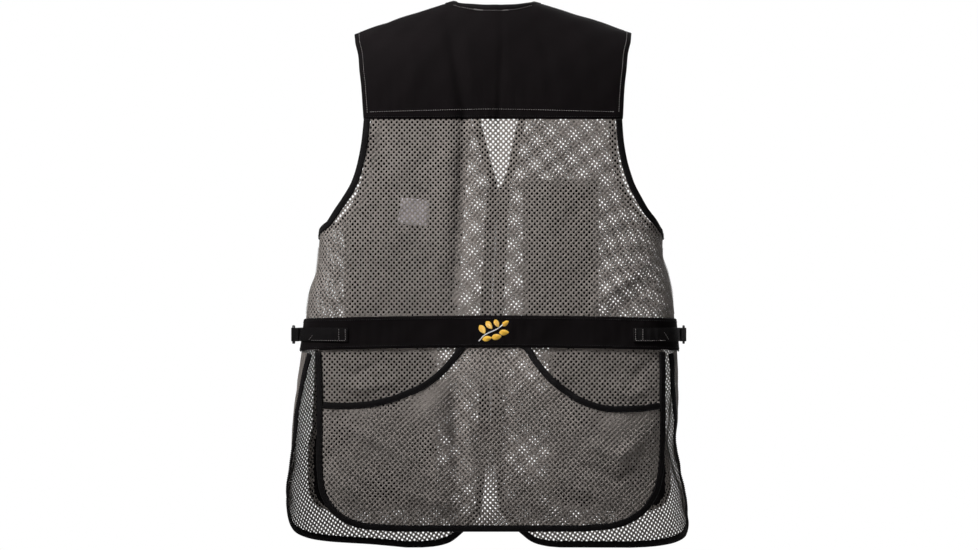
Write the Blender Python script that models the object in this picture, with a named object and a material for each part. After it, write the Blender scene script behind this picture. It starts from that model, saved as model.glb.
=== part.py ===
"""Shooting vest, standing open and hollow as it does on the shoulders that hold it.

Units are metres. +Z is up, +Y is the zip side and +X is the wearer's right, so the
back looks towards -Y. The origin is midway between the two points where the shoulder
seams meet the neck.

Every cloth piece is cut out of one shell. A place on the shell has a girth, which is
the distance round from the centre of the back, + to the wearer's right, and a level,
which is the drop from the shoulder seam. Each piece is a closed wall between two
distances from that shell, so whatever lies on a panel is made from the panel's form.
"""

import math
from collections import namedtuple

import bpy
import numpy as np

# Driving dimensions of the shell
YOKE_LEVEL = 0.156
FRONT_YOKE_LEVEL = 0.120
BELT_LEVEL = 0.4175
BELT_HEIGHT = 0.0410
BELT_END_DROP = 0.0060
CURVE_BACK = 4.6
CURVE_FRONT = 2.5
NECK_HALF = 0.0560
SHOULDER_SLOPE = 0.33
SHOULDER_ROUND = 0.020
SHOULDER_LOWER_LEFT = 0.014
NECK_DIP = 0.0034
NECK_SEAM = 0.0010

# Cloth and trim
SEAM = 0.0003
NET_THICK = 0.0012
TWILL_THICK = 0.0015
BELT_THICK = 0.0020
TAPE_WIDTH = 0.0087
TAPE_NEAR = -0.0006
TAPE_FAR = 0.0021
NECK_TAPE_WIDTH = 0.0052
WEBBING_WIDTH = 0.0180
WEBBING_THICK = 0.0014
LAYER = 0.0004
PATCH_LAYER = 0.0012
POCKET_LAYER = 0.0016

# Zip
ZIP_TOP = 0.2462
ZIP_END = 0.5970
CHAIN_HALF = 0.0020
ZIP_TAPE_WIDTH = 0.0130
ZIP_TAPE_THICK = 0.0010

# A row for each level: half widths on both sides, then depths behind and in front of
# the shoulder seam's plane
Section = namedtuple("Section", "level left right back front")
SECTIONS = (
    Section(0.1560, 0.2050, 0.2050, 0.0760, 0.1080),
    Section(0.2550, 0.2255, 0.2225, 0.0800, 0.1220),
    Section(0.3110, 0.2295, 0.2243, 0.0815, 0.1270),
    Section(0.3365, 0.2314, 0.2250, 0.0820, 0.1280),
    Section(0.3604, 0.2345, 0.2318, 0.0820, 0.1285),
    Section(0.3817, 0.2418, 0.2360, 0.0820, 0.1290),
    Section(0.4070, 0.2463, 0.2390, 0.0820, 0.1290),
    Section(0.4400, 0.2500, 0.2420, 0.0820, 0.1290),
    Section(0.4930, 0.2574, 0.2452, 0.0830, 0.1310),
    Section(0.5560, 0.2650, 0.2445, 0.0845, 0.1330),
    Section(0.5865, 0.2668, 0.2418, 0.0850, 0.1340),
    Section(0.6185, 0.2687, 0.2466, 0.0855, 0.1350),
    Section(0.6610, 0.2738, 0.2556, 0.0865, 0.1360),
    Section(0.7300, 0.2715, 0.2640, 0.0880, 0.1370),
)

# Where the panels' armhole edges run before they are bound, by distance from the
# centre line; the last rows turn under the arm, by distance from the side seam
ArmEdge = namedtuple("ArmEdge", "level left right front")
ARM_EDGE = (
    ArmEdge(0.1560, 0.1625, 0.1620, 0.1538),
    ArmEdge(0.1860, 0.1652, 0.1645, 0.1560),
    ArmEdge(0.2140, 0.1705, 0.1697, 0.1600),
    ArmEdge(0.2420, 0.1790, 0.1780, 0.1665),
    ArmEdge(0.2670, 0.1930, 0.1905, 0.1790),
    ArmEdge(0.2840, 0.2055, 0.2015, 0.1920),
    ArmEdge(0.3000, 0.2170, 0.2160, 0.2060),
)
UnderArm = namedtuple("UnderArm", "level back front")
UNDER_ARM = (
    UnderArm(0.3070, 0.0450, 0.0500),
    UnderArm(0.3125, 0.0270, 0.0290),
    UnderArm(0.3167, 0.0004, 0.0004),
)

# The yoke's sides and the front yokes' sides, by distance from the centre line
YokeEdge = namedtuple("YokeEdge", "level back front")
YOKE_EDGE = (
    YokeEdge(0.0000, 0.1835, 0.1835),
    YokeEdge(0.0434, 0.1822, 0.1765),
    YokeEdge(0.0733, 0.1783, 0.1705),
    YokeEdge(0.0949, 0.1765, 0.1675),
    YokeEdge(0.1137, 0.1744, 0.1655),
    YokeEdge(0.1310, 0.1730, 0.1640),
    YokeEdge(0.1560, 0.1712, 0.1625),
)

# The front opening: the middle of it, and the half width between the panels' edges
Opening = namedtuple("Opening", "level middle half")
OPENING = (
    Opening(0.0000, 0.0000, 0.0640),
    Opening(0.0600, 0.0040, 0.0545),
    Opening(0.1200, 0.0080, 0.0430),
    Opening(0.1560, 0.0080, 0.0361),
    Opening(0.2060, 0.0090, 0.0246),
    Opening(0.2250, 0.0096, 0.0201),
    Opening(0.2386, 0.0095, 0.0156),
    Opening(0.2470, 0.0080, 0.0128),
    Opening(0.3400, 0.0022, 0.0128),
    Opening(0.4160, -0.0018, 0.0128),
    Opening(0.6000, -0.0033, 0.0128),
    Opening(0.6400, -0.0033, 0.0180),
    Opening(0.6750, -0.0033, 0.0200),
    Opening(0.6860, -0.0033, 0.0270),
    Opening(0.6950, -0.0033, 0.0370),
    Opening(0.7050, -0.0033, 0.0480),
    Opening(0.7130, -0.0033, 0.0590),
    Opening(0.7175, -0.0033, 0.0760),
    Opening(0.7188, -0.0033, 0.0920),
)

# Edges of the fronts below the belt before they are bound, by distance past the side
# seam; a distance under 0 is still on the back
VENT_TOP = 0.4665
Vent = namedtuple("Vent", "level left right")
VENT = (
    Vent(0.4665, -0.0550, -0.0525),
    Vent(0.5240, -0.0462, -0.0478),
    Vent(0.5600, -0.0435, -0.0400),
    Vent(0.5865, -0.0395, -0.0290),
    Vent(0.6200, -0.0215, -0.0090),
    Vent(0.6600, 0.0110, 0.0110),
    Vent(0.6823, 0.0350, 0.0260),
    Vent(0.6970, 0.0560, 0.0390),
    Vent(0.7055, 0.0830, 0.0560),
    Vent(0.7105, 0.1200, 0.0730),
    Vent(0.7145, 0.1800, 0.0950),
    Vent(0.7175, 0.2120, 0.1220),
    Vent(0.7188, 0.2250, 0.1500),
)

# Sides of the back below the belt before they are bound, from the centre line
Tail = namedtuple("Tail", "level left right")
TAIL = (
    Tail(0.4625, 0.2270, 0.2200),
    Tail(0.5450, 0.2245, 0.2200),
    Tail(0.6080, 0.2250, 0.2190),
    Tail(0.6430, 0.2225, 0.2130),
    Tail(0.6650, 0.2130, 0.2020),
    Tail(0.6820, 0.1950, 0.1820),
    Tail(0.6910, 0.1700, 0.1560),
    Tail(0.6943, 0.1300, 0.1150),
)

# Top edge of the pouch before it is bound, by distance from the centre line
PouchTop = namedtuple("PouchTop", "across left right")
POUCH_TOP = (
    PouchTop(0.000, 0.4589, 0.4589),
    PouchTop(0.033, 0.4596, 0.4596),
    PouchTop(0.040, 0.4680, 0.4620),
    PouchTop(0.050, 0.4810, 0.4770),
    PouchTop(0.060, 0.4925, 0.4905),
    PouchTop(0.075, 0.5060, 0.5070),
    PouchTop(0.095, 0.5187, 0.5225),
    PouchTop(0.110, 0.5250, 0.5325),
    PouchTop(0.125, 0.5311, 0.5390),
    PouchTop(0.140, 0.5353, 0.5435),
    PouchTop(0.160, 0.5395, 0.5460),
    PouchTop(0.190, 0.5415, 0.5450),
    PouchTop(0.228, 0.5400, 0.5400),
)
POUCH_GAP = 0.0150
POUCH_MOUTH_ROUND = 0.030
POUCH_BOTTOM_ROUND = 0.070

# Folds: a soft ridge, or a trough where height is negative, from one place to another
Fold = namedtuple("Fold", "girth_1 level_1 girth_2 level_2 width height")
BACK_FOLDS = (
    Fold(-0.064, 0.040, -0.030, 0.165, 0.012, -0.0030),
    Fold(-0.029, 0.120, -0.048, 0.430, 0.012, -0.0050),
    Fold(-0.056, 0.110, -0.072, 0.430, 0.014, 0.0040),
    Fold(0.016, 0.110, 0.008, 0.400, 0.016, -0.0025),
    Fold(0.060, 0.100, 0.085, 0.400, 0.028, 0.0030),
    Fold(-0.130, 0.190, -0.150, 0.430, 0.028, 0.0030),
    Fold(0.205, 0.300, 0.130, 0.420, 0.022, 0.0030),
    Fold(-0.205, 0.310, -0.140, 0.420, 0.020, -0.0025),
)
FRONT_FOLDS = (
    Fold(0.470, 0.130, 0.480, 0.640, 0.026, -0.0030),
    Fold(0.405, 0.330, 0.430, 0.700, 0.030, 0.0030),
    Fold(-0.455, 0.130, -0.470, 0.620, 0.028, -0.0030),
    Fold(-0.400, 0.300, -0.425, 0.690, 0.028, 0.0030),
)
POUCH_FOLDS = (
    Fold(-0.050, 0.455, -0.040, 0.680, 0.013, -0.0045),
    Fold(-0.026, 0.455, -0.020, 0.690, 0.014, 0.0030),
    Fold(0.100, 0.530, 0.160, 0.640, 0.018, 0.0045),
    Fold(0.215, 0.550, 0.150, 0.650, 0.018, 0.0040),
    Fold(-0.220, 0.600, -0.165, 0.680, 0.016, 0.0035),
    Fold(-0.205, 0.545, -0.110, 0.600, 0.020, 0.0030),
)

# Colours as linear light
TWILL = (0.0130, 0.0130, 0.0145)
NET = (0.2300, 0.2050, 0.1750)
TAPE = (0.0100, 0.0100, 0.0110)
WEBBING = (0.0140, 0.0140, 0.0150)
LABEL = (0.3200, 0.3150, 0.3050)
PLASTIC = (0.0080, 0.0080, 0.0085)
STEEL = (0.1000, 0.1000, 0.1050)

# How finely the shell is worked out, and the rows and columns of the pieces
LEVELS = np.linspace(0.0, 0.740, 297)
STEPS_ROUND = 90
NORMAL_STEP = 0.001
BEND_FLOOR = 1.2
BACK_COLUMNS = 14
FRONT_COLUMNS = 14
NECK_COLUMNS = 5
SHOULDER_COLUMNS = 6
YOKE_ROWS = 8
SHOULDER_GAP = 0.0002
ARM_LEVELS = (
    0.1564, 0.1760, 0.1960, 0.2160, 0.2360, 0.2480, 0.2670, 0.2800, 0.2910,
    0.3000, 0.3070, 0.3125, 0.3167,
)
SIDE_LEVELS = (0.3420, 0.3720, 0.4000, 0.4220, 0.4400, 0.4585)
TAIL_LEVELS = (0.4625, 0.5000, 0.5400, 0.5800, 0.6150, 0.6430, 0.6650, 0.6820, 0.6910, 0.6943)
FRONT_YOKE_LEVELS = np.linspace(SHOULDER_GAP, FRONT_YOKE_LEVEL - SEAM / 2, 7)
FRONT_TAIL_LEVELS = (
    0.4665, 0.4990, 0.5300, 0.5600, 0.5900, 0.6200, 0.6450, 0.6640, 0.6780,
    0.6900, 0.6990, 0.7060, 0.7110, 0.7145, 0.7175, 0.7188,
)
BACK_LEVELS = np.array(ARM_LEVELS + SIDE_LEVELS + TAIL_LEVELS)
FRONT_LEVELS = np.array((0.1203, 0.1380) + ARM_LEVELS + SIDE_LEVELS + FRONT_TAIL_LEVELS)
HEM_CORNER_ROWS = 6
POUCH_FIRST_ROW = 2
POUCH_COLUMNS = (0.0, 0.075, 0.150, 0.184, 0.233, 0.287, 0.350, 0.430, 0.510)
POUCH_BINDING_START = 0.0300
TAIL_BINDING_TOP = 0.4652
BELT_PAST = 0.0050

# Patches, pockets and label on the fronts, from the centre line
PATCH_EDGE = 0.004
CHEST_BOTTOM = 0.4245
CHEST_LEFT_REAR = 0.1955
PatchFront = namedtuple("PatchFront", "level across")
CHEST_LEFT_FRONT = (
    PatchFront(0.1200, 0.0365),
    PatchFront(0.1560, 0.0275),
    PatchFront(0.1700, 0.0290),
    PatchFront(0.1915, 0.0319),
    PatchFront(0.2770, 0.0391),
    PatchFront(0.3340, 0.0430),
    PatchFront(0.4245, 0.0475),
)
CHEST_RIGHT_TOP = 0.2340
CHEST_RIGHT_REAR = 0.1400
CHEST_RIGHT_FRONT = 0.0400
POCKET_TOP = 0.4585
POCKET_BOTTOM = 0.6785
POCKET_CORNER = 0.0300
POCKET_FRONT = 0.0750
PocketRear = namedtuple("PocketRear", "level left right")
POCKET_REAR = (
    PocketRear(0.4585, 0.2330, 0.2240),
    PocketRear(0.5650, 0.2370, 0.2250),
    PocketRear(0.5900, 0.2420, 0.2290),
    PocketRear(0.6200, 0.2430, 0.2330),
    PocketRear(0.6785, 0.2420, 0.2340),
)
LABEL_LEVEL = 0.2790
LABEL_ACROSS = 0.1060
LABEL_WIDTH = 0.0360
LABEL_HEIGHT = 0.0330
LABEL_THICK = 0.0008
LABEL_OFF = 0.0010

# Hanger loop inside the neck
LOOP_MIDDLE = -0.0014
LOOP_HALF = 0.0187
LOOP_BELOW = 0.0010
LOOP_SAG = 0.0050
LOOP_WIDTH = 0.0055
LOOP_THICK = 0.0010
LOOP_OFF = -0.0010
LOOP_STAND = 0.0030

# Side straps and their buckles
STRAP_LEVEL = 0.4423
STRAP_START = 0.1955
STRAP_STEPS = 8
STRAP_LEAVE = 0.0060
STRAP_RETURN = 0.55
STRAP_FRONT_REACH = 0.1150
STRAP_FRONT_LEAVE = 0.0700
BUCKLE_LEVEL = 0.4423
BUCKLE_PAST = 0.0200
BUCKLE_OFF = {"left": 0.0160, "right": 0.0125}
BUCKLE_TURN = {"left": 10.0, "right": 7.0}
BAR_HALF = 0.0016
BAR_CLEAR = 0.0006
BAR_REAR = -0.0110
BAR_MIDDLE = 0.0005
BAR_FRONT = 0.0110
RAIL = 0.0030
RAIL_CLEAR = 0.0004
BUCKLE_BEVEL = 0.0006
STACK = 0.0019
TAIL_LENGTH = 0.0300

# Zip slider and pull tab
CHAIN_FAR = 0.0018
SLIDER_LEVEL = 0.2570
SLIDER_HALF = 0.0042
SLIDER_LONG = 0.0110
SLIDER_NEAR = 0.0025
SLIDER_FAR = 0.0048
BRIDGE_CLEAR = 0.0031
BRIDGE_THICK = 0.0012
BRIDGE_FOOT = 0.0031
BRIDGE_LEG = 0.0014
BRIDGE_HALF = 0.0011
PULL_AXIS = 0.0016
PULL_BAR = 0.0014
PULL_HALF = 0.0032
PULL_RAIL = 0.0015
PULL_EYE = 0.0064
PULL_LENGTH = 0.0280
PULL_BEVEL = 0.0003


def clear_scene():
    for obj in list(bpy.data.objects):
        bpy.data.objects.remove(obj, do_unlink=True)


def smooth(at, knots, values):
    """A soft curve through a short table, level beyond its ends, that never overshoots."""
    knots = np.asarray(knots, float)
    values = np.asarray(values, float)
    rise = np.diff(values) / np.diff(knots)
    same_way = rise[:-1] * rise[1:] > 0
    total = np.where(same_way, rise[:-1] + rise[1:], 1)
    between = np.where(same_way, 2 * rise[:-1] * rise[1:] / total, 0)
    slope = np.concatenate([rise[:1], between, rise[-1:]])
    at = np.clip(at, knots[0], knots[-1])
    i = np.clip(np.searchsorted(knots, at, side="right") - 1, 0, len(knots) - 2)
    run = knots[i + 1] - knots[i]
    t = (at - knots[i]) / run
    start = (1 + 2 * t) * (1 - t) ** 2 * values[i] + t * (1 - t) ** 2 * run * slope[i]
    end = t * t * (3 - 2 * t) * values[i + 1] + t * t * (t - 1) * run * slope[i + 1]
    return start + end


def column(table, name):
    return np.array([getattr(row, name) for row in table])


def read(table, name, at, key="level"):
    return smooth(at, column(table, key), column(table, name))


def quarter(half_width, depth, curve):
    """A quarter ring from its middle to the side: its length, and even points on it."""
    turn = np.linspace(0, math.pi / 2, 361)
    across = half_width * np.sin(turn) ** (2 / curve)
    deep = depth * np.abs(np.cos(turn)) ** (2 / curve)
    run = np.concatenate([[0], np.cumsum(np.hypot(np.diff(across), np.diff(deep)))])
    even = np.linspace(0, run[-1], STEPS_ROUND + 1)
    return run[-1], np.interp(even, run, across), np.interp(even, run, deep)


def over_shoulder(level):
    """How far a level is down the bend from the shoulder seam, from 0 to 1."""
    return np.sin(np.clip(level / YOKE_LEVEL, 0, 1) * math.pi / 2)


def shell_tables():
    """For each side, the ring at every level: quarter lengths and even points."""
    tables = {}
    for side, name in ((-1, "left"), (1, "right")):
        lengths, across, deep = [], [], []
        for level in LEVELS:
            held = max(level, YOKE_LEVEL)
            half_width = float(read(SECTIONS, name, held))
            bend = float(over_shoulder(level))
            back = quarter(half_width, float(read(SECTIONS, "back", held)) * bend, CURVE_BACK)
            front = quarter(half_width, float(read(SECTIONS, "front", held)) * bend, CURVE_FRONT)
            lengths.append((back[0], front[0]))
            across.append(np.concatenate([back[1], front[1][::-1][1:]]))
            deep.append(np.concatenate([-back[2], front[2][::-1][1:]]))
        tables[side] = (np.array(lengths), np.array(across), np.array(deep))
    return tables


TABLES = shell_tables()


def quarter_lengths(side, level):
    lengths = TABLES[side][0]
    return np.interp(level, LEVELS, lengths[:, 0]), np.interp(level, LEVELS, lengths[:, 1])


def drop(across):
    """The shoulder seam's fall at this distance from the centre line."""
    return SHOULDER_SLOPE * (np.sqrt(across**2 + SHOULDER_ROUND**2) - NECK_HALF)


def one_side(side, girth, level):
    """Points of the shell on one side, by distance round from the centre back."""
    back, front = quarter_lengths(side, level)
    place = np.where(girth <= back, girth / back, 1 + (girth - back) / front)
    place = np.clip(place, 0, 2) * STEPS_ROUND
    row = np.clip(np.searchsorted(LEVELS, level, side="right") - 1, 0, len(LEVELS) - 2)
    down = np.clip((level - LEVELS[row]) / (LEVELS[1] - LEVELS[0]), 0, 1)
    step = np.clip(place.astype(int), 0, 2 * STEPS_ROUND - 1)
    along = place - step
    found = []
    for grid in TABLES[side][1:]:
        upper = grid[row, step] * (1 - along) + grid[row, step + 1] * along
        lower = grid[row + 1, step] * (1 - along) + grid[row + 1, step + 1] * along
        found.append(upper * (1 - down) + lower * down)
    across, deep = found
    bend = 1 - np.cos(np.clip(level / YOKE_LEVEL, 0, 1) * math.pi / 2)
    fall = drop(across)
    if side < 0:
        fall = fall + SHOULDER_LOWER_LEFT * np.maximum(across - NECK_HALF, 0)
    high = -np.where(level < YOKE_LEVEL, (1 - bend) * fall + bend * YOKE_LEVEL, level)
    return np.stack([side * across, deep, high], axis=-1)


def shell(girth, level):
    """Points of the shell. A girth past the centre front comes out on the other side."""
    girth, level = np.broadcast_arrays(np.asarray(girth, float), np.asarray(level, float))
    side = np.where(girth < 0, -1, 1)
    far = np.abs(girth)
    points = np.zeros(girth.shape + (3,))
    for this in (-1, 1):
        whole = sum(quarter_lengths(this, level))
        other = sum(quarter_lengths(-this, level))
        near = (side == this) & (far <= whole)
        past = (side == -this) & (far > other)
        points[near] = one_side(this, far, level)[near]
        points[past] = one_side(this, whole - (far - other), level)[past]
    return points


def outward(girth, level):
    """Unit normals of the shell, pointing away from the wearer."""
    girth, level = np.broadcast_arrays(np.asarray(girth, float), np.asarray(level, float))
    lower = np.maximum(level - NORMAL_STEP, 0)
    round_it = shell(girth + NORMAL_STEP, level) - shell(girth - NORMAL_STEP, level)
    down = shell(girth, level + NORMAL_STEP) - shell(girth, lower)
    normal = -np.cross(round_it, down)
    return normal / np.linalg.norm(normal, axis=-1, keepdims=True)


def folded(folds, girth, level):
    """How far the folds raise the cloth at each place."""
    raised = np.zeros(np.broadcast(girth, level).shape)
    for fold in folds:
        run_g = fold.girth_2 - fold.girth_1
        run_l = fold.level_2 - fold.level_1
        length = math.hypot(run_g, run_l)
        along = ((girth - fold.girth_1) * run_g + (level - fold.level_1) * run_l) / length**2
        aside = ((girth - fold.girth_1) * run_l - (level - fold.level_1) * run_g) / length
        fade = np.sin(np.clip(along, 0, 1) * math.pi) ** 0.8
        raised = raised + fold.height * fade * np.exp(-((aside / fold.width) ** 2))
    return raised


def placed(girth, level, away):
    lift = np.asarray(away) + folded(BACK_FOLDS + FRONT_FOLDS, girth, level)
    return shell(girth, level) + outward(girth, level) * lift[..., None]


def girth_back(side, across, level):
    """Girth of the place on the back at this distance from the centre line."""
    return girth_on(side, across, level, 0)


def girth_front(side, across, level):
    """Girth of the place on the front; a distance under 0 is past the centre front."""
    level = np.asarray(level, float)
    across = np.broadcast_to(np.asarray(across, float), level.shape)
    whole = sum(quarter_lengths(side, level))
    found = np.where(across > 0, girth_on(side, np.maximum(across, 0), level, STEPS_ROUND), 0)
    return np.where(across > 0, found, side * (whole - across))


def girth_on(side, across, level, start):
    """Girth by distance from the centre line, over the quarter that starts at this step."""
    level = np.atleast_1d(np.asarray(level, float))
    across = np.broadcast_to(np.asarray(across, float), level.shape)
    back, front = quarter_lengths(side, level)
    grid = TABLES[side][1][:, start : start + STEPS_ROUND + 1]
    steps = np.linspace(0, 1, STEPS_ROUND + 1)
    place = np.clip((level - LEVELS[0]) / (LEVELS[1] - LEVELS[0]), 0, len(LEVELS) - 1.001)
    found = []
    for one, at, rear, fore in zip(across, place, back, front):
        row = int(at)
        distances = grid[row] * (row + 1 - at) + grid[row + 1] * (at - row)
        if start:
            found.append(rear + np.interp(one, distances[::-1], steps[::-1]) * fore)
        else:
            found.append(np.interp(one, distances, steps) * rear)
    return side * np.array(found)


def material(name, colour, roughness, metallic=0.0):
    made = bpy.data.materials.get(name)
    if made is None:
        made = bpy.data.materials.new(name)
        made.use_nodes = True
        shader = made.node_tree.nodes["Principled BSDF"]
        shader.inputs["Base Color"].default_value = (*colour, 1)
        shader.inputs["Roughness"].default_value = roughness
        shader.inputs["Metallic"].default_value = metallic
    return made


def add_mesh(name, points, faces, finish):
    """A closed mesh facing out, shaded smooth but for its sharp rims."""
    points = np.asarray(points, float)
    volume = 0.0
    for face in faces:
        for k in range(1, len(face) - 1):
            a, b, c = points[face[0]], points[face[k]], points[face[k + 1]]
            volume += float(np.dot(a, np.cross(b, c)))
    if volume < 0:
        faces = [tuple(reversed(face)) for face in faces]
    mesh = bpy.data.meshes.new(name)
    mesh.from_pydata([tuple(p) for p in points], [], faces)
    mesh.shade_smooth()
    mesh.set_sharp_from_angle(angle=math.radians(50))
    obj = bpy.data.objects.new(name, mesh)
    obj.data.materials.append(finish)
    bpy.context.collection.objects.link(obj)
    return obj


def closed_wall(name, inner, outer, finish):
    """A closed solid between two grids of points of the same size."""
    rows, columns = outer.shape[:2]
    points = np.concatenate([outer.reshape(-1, 3), inner.reshape(-1, 3)])
    count = rows * columns
    faces = []
    for r in range(rows - 1):
        for c in range(columns - 1):
            a, b = r * columns + c, r * columns + c + 1
            d, e = a + columns, b + columns
            faces.append((a, b, e, d))
            faces.append((count + a, count + d, count + e, count + b))
    rim = [(0, c) for c in range(columns)]
    rim += [(r, columns - 1) for r in range(1, rows)]
    rim += [(rows - 1, c) for c in range(columns - 2, -1, -1)]
    rim += [(r, 0) for r in range(rows - 2, 0, -1)]
    loop = [r * columns + c for r, c in rim]
    for here, following in zip(loop, loop[1:] + loop[:1]):
        faces.append((here, count + here, count + following, following))
    return add_mesh(name, points, faces, finish)


def wall(name, girth, level, near, far, finish):
    """A piece of cloth over a grid of places, between two distances from the shell."""
    girth, level = np.broadcast_arrays(girth, level)
    return closed_wall(name, placed(girth, level, near), placed(girth, level, far), finish)


def sideways(line):
    """At each place of a line, the step to the left of its direction of travel."""
    step = np.diff(line, axis=0)
    step /= np.maximum(np.linalg.norm(step, axis=1, keepdims=True), 1e-9)
    before = np.concatenate([step[:1], step])
    after = np.concatenate([step, step[-1:]])
    along = before + after
    along /= np.linalg.norm(along, axis=1, keepdims=True)
    stretch = 1 / np.maximum((along * before).sum(axis=1, keepdims=True), 0.7)
    return np.stack([along[:, 1], -along[:, 0]], axis=1) * stretch


def strip(line, width):
    """Places over a strip beside a line, SEAM away from it. A width under 0 is to the right."""
    aside = sideways(line) * math.copysign(1, width)
    return np.stack([line + aside * SEAM, line + aside * (SEAM + abs(width))], axis=1)


def trimmed(places, start, end):
    """A strip cut back a little at its ends, so that the next one meets it with a gap."""
    places = places.copy()
    for index, following, wanted in ((0, 1, start), (-1, -2, end)):
        if wanted:
            run = places[following] - places[index]
            length = np.linalg.norm(run, axis=1, keepdims=True)
            places[index] += run / length * SEAM
    return places


def lowered(places, level):
    """Places held at or under a level."""
    places = places.copy()
    places[..., 1] = np.maximum(places[..., 1], level)
    return places


def band(name, places, near, far, finish):
    return wall(name, places[..., 0], places[..., 1], near, far, finish)


def bend_columns(side, start, end, count, level):
    """Shares from 0 to 1 of the way round, closer together where the ring bends."""
    girth = side * np.linspace(start, end, 401)
    points = shell(girth, np.full(401, level))[:, :2]
    heading = np.unwrap(np.arctan2(*np.diff(points, axis=0).T[::-1]))
    turn = np.abs(np.diff(heading)) / (abs(end - start) / 400)
    turn = np.convolve(np.pad(turn, 20, mode="edge"), np.ones(41) / 41, mode="valid")
    weight = np.sqrt(turn) + BEND_FLOOR
    total = np.concatenate([[0], np.cumsum(weight)])
    return np.interp(np.linspace(0, total[-1], count), total, np.linspace(0, 1, len(total)))


def both_sides(left, right, spread):
    """Columns over the whole back, given the edge on each side as rows."""
    mirrored = left[:, None] * spread[::-1][None, :-1]
    return np.concatenate([mirrored, right[:, None] * spread[None, :]], axis=1)


def arm_edge(side, face):
    """Girth of the armhole edge of a panel at each of its levels."""
    turn = girth_back if face == "back" else girth_front
    toward = -1 if face == "back" else 1
    name = side_name(side) if face == "back" else face
    last = ARM_EDGE[-1]
    seam, _ = quarter_lengths(side, last.level)
    reach = abs(abs(turn(side, getattr(last, name), last.level)[0]) - seam)
    reach_levels = np.concatenate([[last.level], column(UNDER_ARM, "level")])
    reaches = np.concatenate([[reach], column(UNDER_ARM, face)])
    found = []
    for level in ARM_LEVELS:
        seam, _ = quarter_lengths(side, level)
        if level <= last.level:
            found.append(turn(side, read(ARM_EDGE, name, level), level)[0])
        else:
            found.append(side * (seam + toward * smooth(level, reach_levels, reaches)))
    return np.array(found)


def side_seam(side, levels, past):
    """Girth of places this far past the side seam, towards the front."""
    seam, _ = quarter_lengths(side, np.asarray(levels))
    return side * (seam + past)


def tail_edge(side, levels):
    """Girth of the side edge of the back below the belt."""
    levels = np.asarray(levels)
    return girth_back(side, read(TAIL, side_name(side), levels), levels)


def side_name(side):
    return "left" if side < 0 else "right"


def back_edge(side):
    seam = side_seam(side, SIDE_LEVELS, -SEAM / 2)
    return np.concatenate([arm_edge(side, "back"), seam, tail_edge(side, TAIL_LEVELS)])


def make_back_mesh(net, spread):
    grid = both_sides(back_edge(-1), back_edge(1), spread)
    wall("back_mesh", grid, BACK_LEVELS[:, None], 0, NET_THICK, net)


def neck_level(share, half, dip):
    """The level of the back's neckline, by share of the way out from the centre."""
    across = share * half
    wanted = drop(half) + dip * (1 - share**2)
    bent = (wanted - drop(across)) / (YOKE_LEVEL - drop(across))
    return np.arccos(1 - np.clip(bent, 0, 1)) * 2 / math.pi * YOKE_LEVEL


def yoke_grid():
    """Places over the yoke, row by row from the shoulder to its lower seam."""
    neck = NECK_HALF + NECK_TAPE_WIDTH
    inner = np.linspace(0, neck, NECK_COLUMNS + 1)[:-1]
    outer = np.linspace(neck, YOKE_EDGE[0].back, SHOULDER_COLUMNS + 1)
    tops = np.concatenate([inner, outer])
    tops = np.concatenate([-tops[::-1][:-1], tops])
    dip = NECK_DIP + NECK_TAPE_WIDTH
    start = neck_level(np.clip(np.abs(tops) / neck, 0, 1), neck, dip)
    start = np.maximum(start, SHOULDER_GAP)
    level = start + (YOKE_LEVEL - SEAM / 2 - start) * np.linspace(0, 1, YOKE_ROWS)[:, None]
    across = tops / YOKE_EDGE[0].back * read(YOKE_EDGE, "back", level)
    girth = np.where(across < 0, 1.0, 0.0)
    for side in (-1, 1):
        mine = side * across >= 0
        girth[mine] = girth_back(side, np.abs(across[mine]), level[mine])
    return girth, level


def make_back_yoke(twill):
    girth, level = yoke_grid()
    wall("back_yoke", girth, level, 0, TWILL_THICK, twill)


def make_back_neck_binding(tape):
    share = np.linspace(-1, 1, 2 * NECK_COLUMNS + 1)
    lines = []
    for width in (NECK_TAPE_WIDTH - NECK_SEAM, 0):
        half = NECK_HALF + width
        level = neck_level(np.abs(share), half, NECK_DIP + width)
        lines.append(np.stack([share * half, np.maximum(level, SHOULDER_GAP)], axis=1))
    places = np.stack(lines, axis=1)
    band("back_neck_binding", places, TAPE_NEAR, TAPE_FAR, tape)


def make_hanger_loop(tape):
    """A flat loop inside the neck, tacked at both ends and hanging a little."""
    share = np.linspace(-1, 1, 9)
    across = LOOP_MIDDLE + share * LOOP_HALF
    upper = neck_level(np.abs(across) / NECK_HALF, NECK_HALF, NECK_DIP) + LOOP_BELOW
    upper = upper + LOOP_SAG * (1 - share**2)
    away = np.full((9, 2), LOOP_OFF) - (LOOP_STAND * (1 - share**4))[:, None]
    girth = np.stack([across, across], axis=1)
    level = np.stack([upper, upper + LOOP_WIDTH], axis=1)
    wall("hanger_loop", girth, level, away - LOOP_THICK, away, tape)


def opening_edge(side, levels):
    """Girth of a front panel's edge at the front opening."""
    levels = np.asarray(levels)
    across = read(OPENING, "half", levels) + side * read(OPENING, "middle", levels)
    return girth_front(side, across, levels)


def front_yoke_side(side, levels):
    return girth_front(side, read(YOKE_EDGE, "front", np.asarray(levels)), np.asarray(levels))


def make_front_yoke(side, twill):
    rear = front_yoke_side(side, FRONT_YOKE_LEVELS)
    opening = opening_edge(side, FRONT_YOKE_LEVELS)
    share = np.linspace(0, 1, SHOULDER_COLUMNS + 1)
    girth = rear[:, None] * (1 - share) + opening[:, None] * share
    level = FRONT_YOKE_LEVELS[:, None]
    wall("front_yoke_" + side_name(side), girth, level, 0, TWILL_THICK, twill)


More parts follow.
